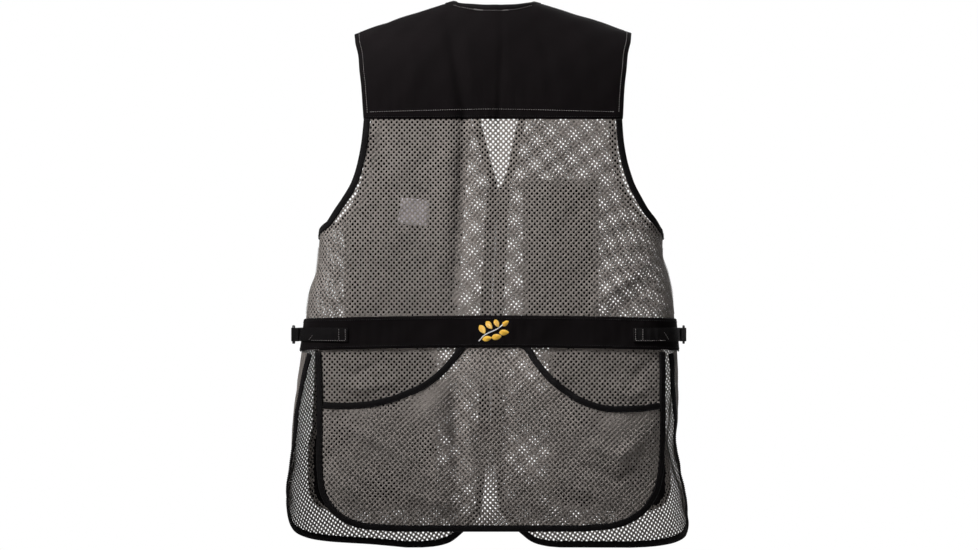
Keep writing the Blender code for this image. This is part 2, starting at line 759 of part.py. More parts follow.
def front_rear_edge(side):
    """Girth of a front panel's edge at the armhole, the side seam and the vent."""
    upper = FRONT_LEVELS[: len(FRONT_LEVELS) - len(ARM_LEVELS + SIDE_LEVELS + FRONT_TAIL_LEVELS)]
    across = read(YOKE_EDGE, "front", upper) - TAPE_WIDTH
    early = girth_front(side, across, upper)
    seam = side_seam(side, SIDE_LEVELS, SEAM / 2)
    past = read(VENT, side_name(side), np.array(FRONT_TAIL_LEVELS))
    vent = side_seam(side, FRONT_TAIL_LEVELS, past)
    return np.concatenate([early, arm_edge(side, "front"), seam, vent])


def front_grid(side, spread):
    rear = front_rear_edge(side)
    opening = opening_edge(side, FRONT_LEVELS)
    return rear[:, None] * (1 - spread) + opening[:, None] * spread


def make_front_mesh(side, net, spread):
    name = "front_mesh_" + side_name(side)
    wall(name, front_grid(side, spread), FRONT_LEVELS[:, None], 0, NET_THICK, net)


def make_armhole_binding(side, tape):
    levels = np.array(ARM_LEVELS)
    back = np.stack([arm_edge(side, "back"), levels], axis=1)[:-1]
    front = np.stack([front_rear_edge(side), FRONT_LEVELS], axis=1)
    front = front[: len(FRONT_LEVELS) - len(SIDE_LEVELS + FRONT_TAIL_LEVELS) - 1][::-1]
    under = np.array([[side_seam(side, levels[-1:], 0)[0], levels[-1]]])
    line = np.concatenate([back, under, front])
    places = strip(line, side * TAPE_WIDTH)
    places[:1] = lowered(places[:1], YOKE_LEVEL + SEAM / 2)
    places[-1:] = lowered(places[-1:], FRONT_YOKE_LEVEL + SEAM / 2)
    band("armhole_binding_" + side_name(side), places, TAPE_NEAR, TAPE_FAR, tape)


def make_front_bindings(side, tape, spread):
    """One tape up the opening to the shoulder, and one round the hem and the vent."""
    levels = np.concatenate([FRONT_YOKE_LEVELS, FRONT_LEVELS])
    down = np.stack([opening_edge(side, levels), levels], axis=1)
    grid = front_grid(side, spread)
    across = np.stack([grid[-1], np.full(len(spread), FRONT_LEVELS[-1])], axis=1)[::-1][1:-1]
    up = np.stack([grid[:, 0], FRONT_LEVELS], axis=1)[-len(FRONT_TAIL_LEVELS):][::-1]
    places = strip(np.concatenate([down, across, up]), side * TAPE_WIDTH)
    places = lowered(places, SHOULDER_GAP)
    corner = len(FRONT_YOKE_LEVELS) + len(FRONT_LEVELS) - HEM_CORNER_ROWS
    name = side_name(side)
    upper = trimmed(places[:corner], False, True)
    band("front_binding_" + name, upper, TAPE_NEAR, TAPE_FAR, tape)
    band("hem_binding_" + name, places[corner - 1:], TAPE_NEAR, TAPE_FAR, tape)


def belt_lower(across):
    return BELT_LEVEL + BELT_HEIGHT + BELT_END_DROP * (across / SECTIONS[7].right) ** 2


def make_back_belt(twill, spread):
    ends = np.array([side_seam(side, [BELT_LEVEL], 0)[0] for side in (-1, 1)])
    girth = both_sides(ends[:1], ends[1:], spread)[0]
    girth = np.concatenate([[girth[0] - BELT_PAST], girth, [girth[-1] + BELT_PAST]])
    upper = BELT_LEVEL + BELT_END_DROP * (girth / ends[1]) ** 2
    level = upper + np.linspace(0, 1, 3)[:, None] * BELT_HEIGHT
    near = NET_THICK + LAYER
    wall("back_belt", girth[None, :], level, near, near + BELT_THICK, twill)


def pouch_places(spread):
    """Girth and level over the pouch, row by row from its top edge."""
    spread = np.concatenate([POUCH_COLUMNS, spread[spread > POUCH_COLUMNS[-1] + 0.04]])
    share = np.concatenate([-spread[::-1][:-1], spread])
    across = TAIL[0].right * np.abs(share)
    left = read(POUCH_TOP, "left", across, "across")
    right = read(POUCH_TOP, "right", across, "across")
    top = np.maximum(np.where(share < 0, left, right), POUCH_TOP[0].left)
    rows = np.array(TAIL_LEVELS[POUCH_FIRST_ROW:])
    down = (rows - rows[0]) / (rows[-1] - rows[0])
    level = top + (rows[-1] - top) * down[:, None]
    girth = np.zeros_like(level)
    for side in (-1, 1):
        mine = side * share >= 0
        edge = tail_edge(side, level[:, mine].ravel()).reshape(len(rows), -1)
        girth[:, mine] = edge * np.abs(share[mine])
    return girth, level, share


def pouch_swell(girth, level, share):
    """How far the pouch stands off the back: open at its mouths, shut at its seams."""
    crown = 1 - np.abs(share) ** 4
    low = np.clip((TAIL_LEVELS[-1] - level) / POUCH_BOTTOM_ROUND, 0, 1)
    mouth = 1 - np.exp(-(((level - POUCH_TOP[0].left) / POUCH_MOUTH_ROUND) ** 2))
    swell = POUCH_GAP * crown * np.sin(low * math.pi / 2) * mouth
    fade = np.clip(swell / POUCH_GAP * 1.6, 0, 1)
    return NET_THICK + LAYER + swell + folded(POUCH_FOLDS, girth, level) * fade


def make_back_pouch(net, tape, spread):
    girth, level, share = pouch_places(spread)
    near = pouch_swell(girth, level, share)
    wall("back_pouch", girth, level, near, near + NET_THICK, net)
    for side in (-1, 1):
        mine = side * girth[0] >= POUCH_BINDING_START
        line = np.stack([girth[0][mine], level[0][mine]], axis=1)
        places = strip(line, TAPE_WIDTH)
        places = lowered(places, belt_lower(places[..., 0]) + SEAM)
        off = near[0][mine][:, None]
        far = off + NET_THICK - TAPE_NEAR
        band("pouch_binding_" + side_name(side), places, off, far, tape)


def make_tail_binding(tape, spread):
    """The tape that joins the pouch to the back, down both sides and along the bottom."""
    levels = np.concatenate([[TAIL_BINDING_TOP], TAIL_LEVELS[1:]])
    left = np.stack([tail_edge(-1, levels), levels], axis=1)
    right = np.stack([tail_edge(1, levels), levels], axis=1)[::-1]
    low = both_sides(left[-1:, 0], right[:1, 0], spread)[0][1:-1]
    across = np.stack([low, np.full(len(low), levels[-1])], axis=1)
    places = strip(np.concatenate([left, across, right]), -TAPE_WIDTH)
    band("tail_binding", places, TAPE_NEAR, 2 * NET_THICK + LAYER - TAPE_NEAR, tape)


def panel_points(grid, away, rows, place):
    """Points over part of a front panel, read between the panel's own columns."""
    levels = FRONT_LEVELS[:, None]
    points = placed(grid, np.broadcast_to(levels, grid.shape), away)
    index = np.clip(place.astype(int), 0, grid.shape[1] - 2)
    along = (place - index)[..., None]
    chosen = np.array(rows)[:, None]
    return points[chosen, index] * (1 - along) + points[chosen, index + 1] * along


def front_patch(name, side, rows, rear, front, columns, layer, finish, spread):
    """A patch on a front panel between two edges, given as distances from the centre."""
    grid = front_grid(side, spread)
    levels = FRONT_LEVELS[rows]
    start, end = grid[rows, 0], grid[rows, -1]
    ends = []
    for across in (rear, front):
        share = (girth_front(side, across, levels) - start) / (end - start)
        share = np.clip(share, PATCH_EDGE, 1 - PATCH_EDGE)
        ends.append(np.interp(share, spread, np.arange(len(spread))))
    place = ends[0][:, None] + (ends[1] - ends[0])[:, None] * np.linspace(0, 1, columns)
    low = NET_THICK + layer
    inner = panel_points(grid, low, rows, place)
    outer = panel_points(grid, low + TWILL_THICK, rows, place)
    closed_wall(name, inner, outer, finish)


def level_rows(start, end):
    """Row numbers of the front panels from one level to another."""
    return [i for i, level in enumerate(FRONT_LEVELS) if start <= level <= end]


def make_chest_patches(twill, spread):
    rows = level_rows(FRONT_YOKE_LEVEL, CHEST_BOTTOM)
    rear = np.full(len(rows), CHEST_LEFT_REAR)
    front = read(CHEST_LEFT_FRONT, "across", FRONT_LEVELS[rows])
    front_patch("chest_patch_left", -1, rows, rear, front, 13, PATCH_LAYER, twill, spread)
    rows = level_rows(CHEST_RIGHT_TOP, CHEST_BOTTOM)
    rear = np.full(len(rows), CHEST_RIGHT_REAR)
    front = np.full(len(rows), CHEST_RIGHT_FRONT)
    front_patch("chest_patch_right", 1, rows, rear, front, 9, PATCH_LAYER, twill, spread)


def make_front_pocket(side, twill, spread):
    rows = level_rows(POCKET_TOP, POCKET_BOTTOM)
    levels = FRONT_LEVELS[rows]
    corner = np.clip((levels - (POCKET_BOTTOM - POCKET_CORNER)) / POCKET_CORNER, 0, 1)
    turn = POCKET_CORNER * (1 - np.sqrt(1 - np.clip(corner, 0, 0.98) ** 2))
    rear = read(POCKET_REAR, side_name(side), levels) - turn
    front = POCKET_FRONT + turn
    name = "front_pocket_" + side_name(side)
    front_patch(name, side, rows, rear, front, 15, POCKET_LAYER, twill, spread)


def make_chest_label(label):
    """The plain square that shows through the back, inside the left front."""
    side = -1
    level = LABEL_LEVEL + np.array([-0.5, 0.5])[:, None] * LABEL_HEIGHT
    across = LABEL_ACROSS + np.linspace(-0.5, 0.5, 5)[None, :] * LABEL_WIDTH
    across, level = np.broadcast_arrays(across, level)
    girth = girth_front(side, across.ravel(), level.ravel()).reshape(across.shape)
    wall("chest_label", girth, level, -LABEL_OFF - LABEL_THICK, -LABEL_OFF, label)


def ribbon(name, upper, lower, thick, finish):
    """Webbing along a path given by its upper and lower edges, seen from above."""
    grids = []
    for away in (-thick / 2, thick / 2):
        rows = []
        for edge in (upper, lower):
            flat = edge[:, :2]
            aside = sideways(flat) * away
            rows.append(np.concatenate([flat + aside, edge[:, 2:]], axis=1))
        grids.append(np.stack(rows))
    return closed_wall(name, grids[0], grids[1], finish)


def buckle_frame(side):
    """Where the buckle sits beside the side seam: its middle, forward and outward ways."""
    seam, _ = quarter_lengths(side, BUCKLE_LEVEL)
    girth = side * (seam + BUCKLE_PAST)
    middle = shell(girth, BUCKLE_LEVEL)
    out = outward(girth, BUCKLE_LEVEL)
    out = np.array([out[0], out[1], 0.0]) / math.hypot(out[0], out[1])
    turn = -side * math.radians(BUCKLE_TURN[side_name(side)])
    out = np.array([out[0] * math.cos(turn) - out[1] * math.sin(turn),
                    out[0] * math.sin(turn) + out[1] * math.cos(turn), 0.0])
    forward = np.array([-out[1], out[0], 0.0]) * side
    return middle + out * BUCKLE_OFF[side_name(side)], forward, out


def seen_from_buckle(side, point):
    """Forward and outward distances of a point from the buckle's middle."""
    middle, forward, out = buckle_frame(side)
    return float(np.dot(point - middle, forward)), float(np.dot(point - middle, out))


def on_buckle(side, path):
    """Upper and lower edges of webbing along a path of (forward, out) at the buckle."""
    middle, forward, out = buckle_frame(side)
    points = middle + np.array([f * forward + o * out for f, o in path])
    half = np.array([0, 0, WEBBING_WIDTH / 2])
    return points + half, points - half


def on_shell(girths, aways, level):
    """Upper and lower edges of webbing that lies along the shell."""
    girths = np.asarray(girths)
    edges = []
    for drop_to in (level - WEBBING_WIDTH / 2, level + WEBBING_WIDTH / 2):
        edges.append(placed(girths, np.full(len(girths), drop_to), np.asarray(aways)))
    return edges


def make_strap_back(side, webbing, spread):
    """From the belt, round the buckle's rear bar and back on itself."""
    off = NET_THICK + LAYER + BELT_THICK + LAYER + WEBBING_THICK / 2
    belt_seam, _ = quarter_lengths(side, BELT_LEVEL)
    columns = spread * belt_seam
    first = abs(girth_back(side, STRAP_START, STRAP_LEVEL)[0])
    columns = columns[(columns > first + 0.003) & (columns < belt_seam - STRAP_LEAVE)]
    girths = side * np.concatenate([[first], columns])
    upper, lower = on_shell(girths, np.full(len(girths), off), STRAP_LEVEL)
    turn = WEBBING_THICK / 2 + BAR_HALF + BAR_CLEAR
    leave_f, leave_o = seen_from_buckle(side, (upper[-1] + lower[-1]) / 2)
    near_f, near_o = BAR_REAR - 0.0030, -turn
    path = [(near_f, near_o)] + arc(BAR_REAR, 0.0, turn, -90, 90, 7)
    run = 1 - STRAP_RETURN
    back_f = leave_f + (near_f - leave_f) * run
    back_o = leave_o + (near_o - leave_o) * run
    path += [(BAR_REAR - 0.0030, turn), (back_f, back_o + STACK + 0.0006)]
    path += [(back_f - 0.0060, back_o + STACK - 0.0060 * (near_o - leave_o) / (near_f - leave_f))]
    upper_b, lower_b = on_buckle(side, path)
    edges = np.concatenate([upper, upper_b]), np.concatenate([lower, lower_b])
    ribbon("side_strap_back_" + side_name(side), *edges, WEBBING_THICK, webbing)


def arc(middle_f, middle_o, radius, start, end, count):
    """Points of a turn about a bar, in degrees from forward towards out."""
    found = []
    for angle in np.radians(np.linspace(start, end, count)):
        found.append((middle_f + radius * math.cos(angle), middle_o + radius * math.sin(angle)))
    return found


def make_strap_front(side, webbing):
    """From the front panel, under the buckle, over its middle bar and out again."""
    seam, _ = quarter_lengths(side, STRAP_LEVEL)
    off = NET_THICK + LAYER + WEBBING_THICK / 2
    girths = side * (seam + np.linspace(STRAP_FRONT_REACH, STRAP_FRONT_LEAVE, STRAP_STEPS))
    upper, lower = on_shell(girths, np.full(STRAP_STEPS, off), STRAP_LEVEL)
    turn = WEBBING_THICK / 2 + BAR_HALF + BAR_CLEAR
    under = -turn - STACK
    leave_f, leave_o = seen_from_buckle(side, (upper[-1] + lower[-1]) / 2)
    enter_f = BAR_FRONT + 0.0040
    run = math.hypot(leave_f - enter_f, leave_o - under)
    tail_f = enter_f + (leave_f - enter_f) / run * TAIL_LENGTH
    tail_o = -turn + (leave_o - under) / run * TAIL_LENGTH
    path = [(enter_f, under), (BAR_MIDDLE + 0.0030, under)]
    path += arc(BAR_MIDDLE, under + turn, turn, -110, -180, 4)
    path += arc(BAR_MIDDLE, 0.0, turn, 180, 15, 8)
    path += [(BAR_MIDDLE + turn + 0.0014, -turn + 0.0006), (BAR_MIDDLE + turn + 0.0028, -turn)]
    path += [(enter_f, -turn), (tail_f, tail_o)]
    upper_b, lower_b = on_buckle(side, path)
    edges = np.concatenate([upper, upper_b]), np.concatenate([lower, lower_b])
    ribbon("side_strap_front_" + side_name(side), *edges, WEBBING_THICK, webbing)


def plate(name, across, down, solid, low, high, frame, finish):
    """A flat plate with windows: cells between the lines across and down, solid or not."""
    middle, way_a, way_b, way_c = frame
    points = []
    index = {}
    faces = []

    def corner(i, j, k):
        key = (i, j, k)
        if key not in index:
            index[key] = len(points)
            points.append(middle + way_a * across[i] + way_b * down[j] + way_c * (low, high)[k])
        return index[key]

    def is_solid(i, j):
        return 0 <= i < len(across) - 1 and 0 <= j < len(down) - 1 and (i, j) in solid

    for i, j in sorted(solid):
        for k, order in ((0, (0, 1, 2, 3)), (1, (3, 2, 1, 0))):
            ring = [corner(i, j, k), corner(i + 1, j, k), corner(i + 1, j + 1, k), corner(i, j + 1, k)]
            faces.append(tuple(ring[m] for m in order))
        sides = (
            ((i - 1, j), (i, j), (i, j + 1)),
            ((i + 1, j), (i + 1, j + 1), (i + 1, j)),
            ((i, j - 1), (i + 1, j), (i, j)),
            ((i, j + 1), (i, j + 1), (i + 1, j + 1)),
        )
        for neighbour, one, two in sides:
            if not is_solid(*neighbour):
                faces.append((corner(*one, 0), corner(*two, 0), corner(*two, 1), corner(*one, 1)))
    return add_mesh(name, points, faces, finish)


def make_ladder_lock(side, plastic):
    middle, forward, out = buckle_frame(side)
    rail = WEBBING_WIDTH / 2 + RAIL_CLEAR
    across = [-rail - RAIL, -rail, rail, rail + RAIL]
    bar = BAR_HALF
    along = [BAR_REAR - bar, BAR_REAR + bar, BAR_MIDDLE - bar, BAR_MIDDLE + bar, BAR_FRONT - bar, BAR_FRONT + bar]
    solid = {(i, j) for i in (0, 2) for j in range(5)} | {(1, 0), (1, 2), (1, 4)}
    up = np.array([0, 0, 1.0])
    made = plate("ladder_lock_" + side_name(side), across, along, solid, -BAR_HALF, BAR_HALF, (middle, up, forward, out), plastic)
    soften(made, BUCKLE_BEVEL)


def soften(obj, width):
    bevel = obj.modifiers.new("worn_edges", "BEVEL")
    bevel.width = width
    bevel.segments = 1
    bevel.limit_method = "ANGLE"


def zip_places(side, inner, outer, levels):
    """Girth between two distances from the middle of the zip, at each level."""
    levels = np.asarray(levels)
    middle = read(OPENING, "middle", levels)
    edges = [girth_front(side, side * middle + distance, levels) for distance in (inner, outer)]
    return np.stack(edges, axis=1)


def make_zip(tape, steel):
    levels = np.array([ZIP_TOP] + [v for v in FRONT_LEVELS if ZIP_TOP < v < ZIP_END] + [ZIP_END])
    near = TAPE_NEAR - LAYER - ZIP_TAPE_THICK
    for side in (-1, 1):
        girth = zip_places(side, CHAIN_HALF + SEAM, CHAIN_HALF + ZIP_TAPE_WIDTH, levels)
        wall("zip_tape_" + side_name(side), girth, levels[:, None], near, near + ZIP_TAPE_THICK, tape)
    girth = zip_places(1, -CHAIN_HALF, CHAIN_HALF, levels)
    wall("zip_chain", girth, levels[:, None], near, CHAIN_FAR, steel)


def zip_slider_frame():
    """The place on the cloth under the slider, then its ways right, up and out."""
    middle = float(read(OPENING, "middle", SLIDER_LEVEL))
    girth = girth_front(1, middle, SLIDER_LEVEL)
    out = outward(girth, SLIDER_LEVEL)[0]
    out = np.array([0.0, out[1], out[2]]) / math.hypot(out[1], out[2])
    up = np.array([0.0, -out[2], out[1]])
    return placed(girth, np.array([SLIDER_LEVEL]), 0)[0], np.array([1.0, 0, 0]), up, out


def make_zip_slider(steel):
    middle, right, up, out = zip_slider_frame()
    body = plate("zip_slider", [-SLIDER_HALF, SLIDER_HALF], [-SLIDER_LONG / 2, SLIDER_LONG / 2], {(0, 0)},
                 SLIDER_NEAR, SLIDER_FAR, (middle, right, up, out), steel)
    foot = SLIDER_FAR - 0.0005
    top = SLIDER_FAR + BRIDGE_CLEAR
    across = [-BRIDGE_FOOT - BRIDGE_LEG, -BRIDGE_FOOT, BRIDGE_FOOT, BRIDGE_FOOT + BRIDGE_LEG]
    down = [foot, top, top + BRIDGE_THICK]
    solid = {(0, 0), (2, 0), (0, 1), (1, 1), (2, 1)}
    bridge = plate("slider_bridge", across, down, solid, -BRIDGE_HALF, BRIDGE_HALF, (middle, up, out, right), steel)
    bridge.hide_render = True
    bridge.display_type = "WIRE"
    union = body.modifiers.new("bridge", "BOOLEAN")
    union.operation = "UNION"
    union.object = bridge


def make_zip_pull(steel):
    middle, right, up, out = zip_slider_frame()
    axis = middle + out * (SLIDER_FAR + PULL_AXIS)
    half = PULL_HALF
    across = [-half, -half + PULL_RAIL, half - PULL_RAIL, half]
    bar = PULL_BAR / 2
    down = [-PULL_LENGTH, -PULL_EYE, -bar, bar]
    solid = {(0, 0), (1, 0), (2, 0), (0, 1), (2, 1), (0, 2), (1, 2), (2, 2)}
    origin = np.zeros(3)
    made = plate("zip_pull_tab", across, down, solid, -bar, bar, (origin, right, up, out), steel)
    made.location = tuple(float(v) for v in axis)
    soften(made, PULL_BEVEL)


def main():
    clear_scene()
    twill = material("black_twill", TWILL, 0.85)
    net = material("knitted_net", NET, 0.90)
    tape = material("black_binding_tape", TAPE, 0.80)
    webbing = material("black_webbing", WEBBING, 0.75)
    label = material("woven_label", LABEL, 0.80)
    plastic = material("moulded_plastic", PLASTIC, 0.35)
    steel = material("black_nickel", STEEL, 0.30, 1.0)
    seam, _ = quarter_lengths(1, BELT_LEVEL)
    whole = sum(quarter_lengths(1, BELT_LEVEL))
    back_spread = bend_columns(1, 0, float(seam), BACK_COLUMNS + 1, BELT_LEVEL)
    front_spread = bend_columns(1, float(seam), float(whole), FRONT_COLUMNS, BELT_LEVEL)
    make_back_mesh(net, back_spread)
    make_back_yoke(twill)
    make_back_neck_binding(tape)
    make_hanger_loop(tape)
    make_back_belt(twill, back_spread)
    make_back_pouch(net, tape, back_spread)
    make_tail_binding(tape, back_spread)
    make_chest_patches(twill, front_spread)
    make_chest_label(label)
    make_zip(tape, steel)
    make_zip_slider(steel)
    make_zip_pull(steel)
    for side in (-1, 1):
        make_front_yoke(side, twill)
        make_front_mesh(side, net, front_spread)
        make_armhole_binding(side, tape)
        make_front_bindings(side, tape, front_spread)
        make_front_pocket(side, twill, front_spread)
        make_strap_back(side, webbing, back_spread)
        make_strap_front(side, webbing)
        make_ladder_lock(side, plastic)


if __name__ == "__main__":
    main()
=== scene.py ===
"""Looks of a mesh shooting vest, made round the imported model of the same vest.

Units are metres. +Z is up, +Y is the zip side and +X is the wearer's right. Every cloth
piece lies on one shell. A place on it has a girth, which is the distance round from the
centre of the back, + to the wearer's right, and a level, which is the drop from the
shoulder seam. "Away" is a distance out from that shell.
"""

import math
from collections import namedtuple

import bpy
import numpy as np
from bpy.props import FloatProperty, FloatVectorProperty, IntProperty
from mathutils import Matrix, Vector


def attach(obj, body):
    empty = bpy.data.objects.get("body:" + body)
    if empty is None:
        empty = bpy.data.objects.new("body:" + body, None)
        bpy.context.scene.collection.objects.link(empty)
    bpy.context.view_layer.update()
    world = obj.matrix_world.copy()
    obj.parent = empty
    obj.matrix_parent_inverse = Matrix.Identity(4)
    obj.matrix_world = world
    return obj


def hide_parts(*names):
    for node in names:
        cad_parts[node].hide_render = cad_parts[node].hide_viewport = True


bl_info = {
    "name": "Mesh shooting vest",
    "version": (1, 0, 0),
    "blender": (4, 5, 0),
    "location": "View3D > Sidebar > Vest",
    "description": "Cloth, trim and hardware of a mesh shooting vest",
    "category": "Add Mesh",
}

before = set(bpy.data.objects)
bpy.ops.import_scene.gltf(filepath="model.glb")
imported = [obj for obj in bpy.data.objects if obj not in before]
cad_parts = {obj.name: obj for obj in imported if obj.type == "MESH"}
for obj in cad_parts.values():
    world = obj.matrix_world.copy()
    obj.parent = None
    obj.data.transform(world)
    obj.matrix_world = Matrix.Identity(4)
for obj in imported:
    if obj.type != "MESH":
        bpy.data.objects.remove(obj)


def table(name, fields, rows):
    """Rows of numbers whose places have names."""
    kind = namedtuple(name, fields)
    return tuple(kind(*row) for row in rows)


# Driving dimensions of the shell
YOKE_LEVEL = 0.156
FRONT_YOKE_LEVEL = 0.12
BELT_LEVEL = 0.4175
BELT_END_DROP = 0.006
BELT_PAST = 0.005
CURVE_BACK = 4.6
CURVE_FRONT = 2.5
NECK_HALF = 0.056
SHOULDER_SLOPE = 0.33
SHOULDER_ROUND = 0.02
SHOULDER_LOWER_LEFT = 0.014
SHOULDER_GAP = 0.0002
NECK_DIP = 0.0034
NECK_SEAM = 0.001
NECK_LAP = 0.003

# Distances of the layers from the shell
SEAM = 0.0003
NET_MIDDLE = 0.0006
NET_THICK = 0.0012
TWILL_THICK = 0.0015
BELT_THICK = 0.002
NECK_TAPE_WIDTH = 0.0052
TAPE_NEAR = -0.0006
TAPE_FAR = 0.0021
LAYER = 0.0004
TAPE_SECTION = ((0.0, 0.85), (0.1, 1.0), (0.5, 1.04), (0.86, 0.94), (1.0, 0.62),
                (1.0, 0.34), (0.86, 0.06), (0.5, -0.04), (0.1, 0.0), (0.0, 0.18))
NET_LAP = 0.45
LINE_STEP, TAPE_STEP, FINE_STEP = 0.003, 0.0025, 0.001
UNDER_YOKE = 0.005
BINDING_ROW = 0.0012
SHOULDER_ROW = 0.0026
NECK_ROW = 0.001
BAR_TACKS = ((-0.0258, -0.013), (0.0122, 0.0216))
PATCH_NEAR = 0.0024
POCKET_NEAR = 0.0028
BELT_NEAR = NET_THICK + LAYER
BELT_FAR = BELT_NEAR + BELT_THICK

# A row for each level: half widths on both sides, then depths behind and in front of
# the shoulder seam's plane
SECTIONS = table("Section", "level left right back front", (
    (0.156, 0.205, 0.205, 0.076, 0.108), (0.255, 0.2255, 0.2225, 0.08, 0.122),
    (0.311, 0.2295, 0.2243, 0.0815, 0.127), (0.3365, 0.2314, 0.225, 0.082, 0.128),
    (0.3604, 0.2345, 0.2318, 0.082, 0.1285), (0.3817, 0.2418, 0.236, 0.082, 0.129),
    (0.407, 0.2463, 0.239, 0.082, 0.129), (0.44, 0.25, 0.242, 0.082, 0.129),
    (0.493, 0.2574, 0.2452, 0.083, 0.131), (0.556, 0.265, 0.2445, 0.0845, 0.133),
    (0.5865, 0.2668, 0.2418, 0.085, 0.134), (0.6185, 0.2687, 0.2466, 0.0855, 0.135),
    (0.661, 0.2738, 0.2556, 0.0865, 0.136), (0.73, 0.2715, 0.264, 0.088, 0.137),
))

# Where the nets' armhole edges run, by distance from the centre line, and their turn
# under the arm, by distance from the side seam
ARM_EDGE = table("ArmEdge", "level left right front_left front_right", (
    (0.156, 0.1625, 0.162, 0.1538, 0.1538), (0.186, 0.1652, 0.1645, 0.1582, 0.156),
    (0.214, 0.1705, 0.1697, 0.1628, 0.16), (0.242, 0.179, 0.178, 0.1692, 0.1665),
    (0.267, 0.193, 0.1905, 0.1798, 0.179), (0.284, 0.2055, 0.2015, 0.1922, 0.192),
    (0.3, 0.217, 0.216, 0.206, 0.206),
))
UNDER_ARM = table("UnderArm", "level back front", (
    (0.307, 0.045, 0.05), (0.3125, 0.027, 0.029), (0.3167, 0.0004, 0.0004),
))
YOKE_EDGE = table("YokeEdge", "level back front", (
    (0.0, 0.1835, 0.1835), (0.0434, 0.1822, 0.1765), (0.0733, 0.1783, 0.1705),
    (0.0949, 0.1765, 0.1675), (0.1137, 0.1744, 0.1655), (0.131, 0.173, 0.164),
    (0.156, 0.1712, 0.1625),
))
OPENING = table("Opening", "level middle half", (
    (0.0, 0.0, 0.064), (0.06, 0.004, 0.0545), (0.12, 0.008, 0.043), (0.156, 0.008, 0.0361),
    (0.206, 0.009, 0.0246), (0.225, 0.0096, 0.0201), (0.2386, 0.0095, 0.0156),
    (0.247, 0.008, 0.0128), (0.34, 0.0022, 0.0128), (0.416, -0.0018, 0.0128),
    (0.6, -0.0033, 0.0128), (0.64, -0.0033, 0.018), (0.675, -0.0033, 0.02),
    (0.686, -0.0033, 0.027), (0.695, -0.0033, 0.037), (0.705, -0.0033, 0.048),
    (0.713, -0.0033, 0.059), (0.7175, -0.0033, 0.076), (0.7188, -0.0033, 0.092),
))
VENT = table("Vent", "level left right", (
    (0.4665, -0.055, -0.0525), (0.524, -0.0462, -0.0478), (0.56, -0.0435, -0.04),
    (0.5865, -0.0395, -0.029), (0.62, -0.0215, -0.009), (0.66, 0.011, 0.011),
    (0.6823, 0.035, 0.026), (0.697, 0.056, 0.039), (0.7055, 0.083, 0.056),
    (0.7105, 0.12, 0.073), (0.7145, 0.18, 0.095), (0.7175, 0.212, 0.122),
    (0.7188, 0.225, 0.15),
))
TAIL = table("Tail", "level left right", (
    (0.4625, 0.227, 0.22), (0.545, 0.2245, 0.22), (0.608, 0.225, 0.219),
    (0.643, 0.2225, 0.213), (0.665, 0.213, 0.202), (0.682, 0.195, 0.182),
    (0.691, 0.17, 0.156), (0.6943, 0.13, 0.115),
))
TAIL_TAPE_TOP = 0.4652
POUCH_TOP = table("PouchTop", "across left right", (
    (0.0, 0.4589, 0.4589), (0.033, 0.4596, 0.4596), (0.04, 0.468, 0.462),
    (0.05, 0.481, 0.477), (0.06, 0.4925, 0.4905), (0.075, 0.506, 0.507),
    (0.095, 0.5187, 0.5225), (0.11, 0.525, 0.5325), (0.125, 0.5311, 0.539),
    (0.14, 0.5353, 0.5435), (0.16, 0.5395, 0.546), (0.19, 0.5415, 0.545),
    (0.228, 0.54, 0.54),
))
POUCH_GAP = 0.015
POUCH_MOUTH_ROUND = 0.03
POUCH_BOTTOM_ROUND = 0.07
POUCH_TAPE_START = 0.03
ARM_START, ARM_END = 0.1564, 0.3167
SIDE_END, VENT_TOP, HEM_LEVEL = 0.4585, 0.4665, 0.7188
HEM_SPLIT = 0.69

# Folds: a soft ridge along a path of places, or a trough where height is negative. The
# first ones are those of the solids, and the creases are added to them here.
BODY_FOLDS = table("Fold", "path width height", (
    (((-0.064, 0.04), (-0.03, 0.165)), 0.012, -0.003),
    (((-0.029, 0.12), (-0.048, 0.43)), 0.012, -0.005),
    (((-0.056, 0.11), (-0.072, 0.43)), 0.014, 0.004),
    (((0.016, 0.11), (0.008, 0.4)), 0.016, -0.0025),
    (((0.06, 0.1), (0.085, 0.4)), 0.028, 0.003),
    (((-0.13, 0.19), (-0.15, 0.43)), 0.028, 0.003),
    (((0.205, 0.3), (0.13, 0.42)), 0.022, 0.003),
    (((-0.205, 0.31), (-0.14, 0.42)), 0.02, -0.0025),
    (((0.47, 0.13), (0.48, 0.64)), 0.026, -0.003),
    (((0.405, 0.33), (0.43, 0.7)), 0.03, 0.003),
    (((-0.455, 0.13), (-0.47, 0.62)), 0.028, -0.003),
    (((-0.4, 0.3), (-0.425, 0.69)), 0.028, 0.003),
))
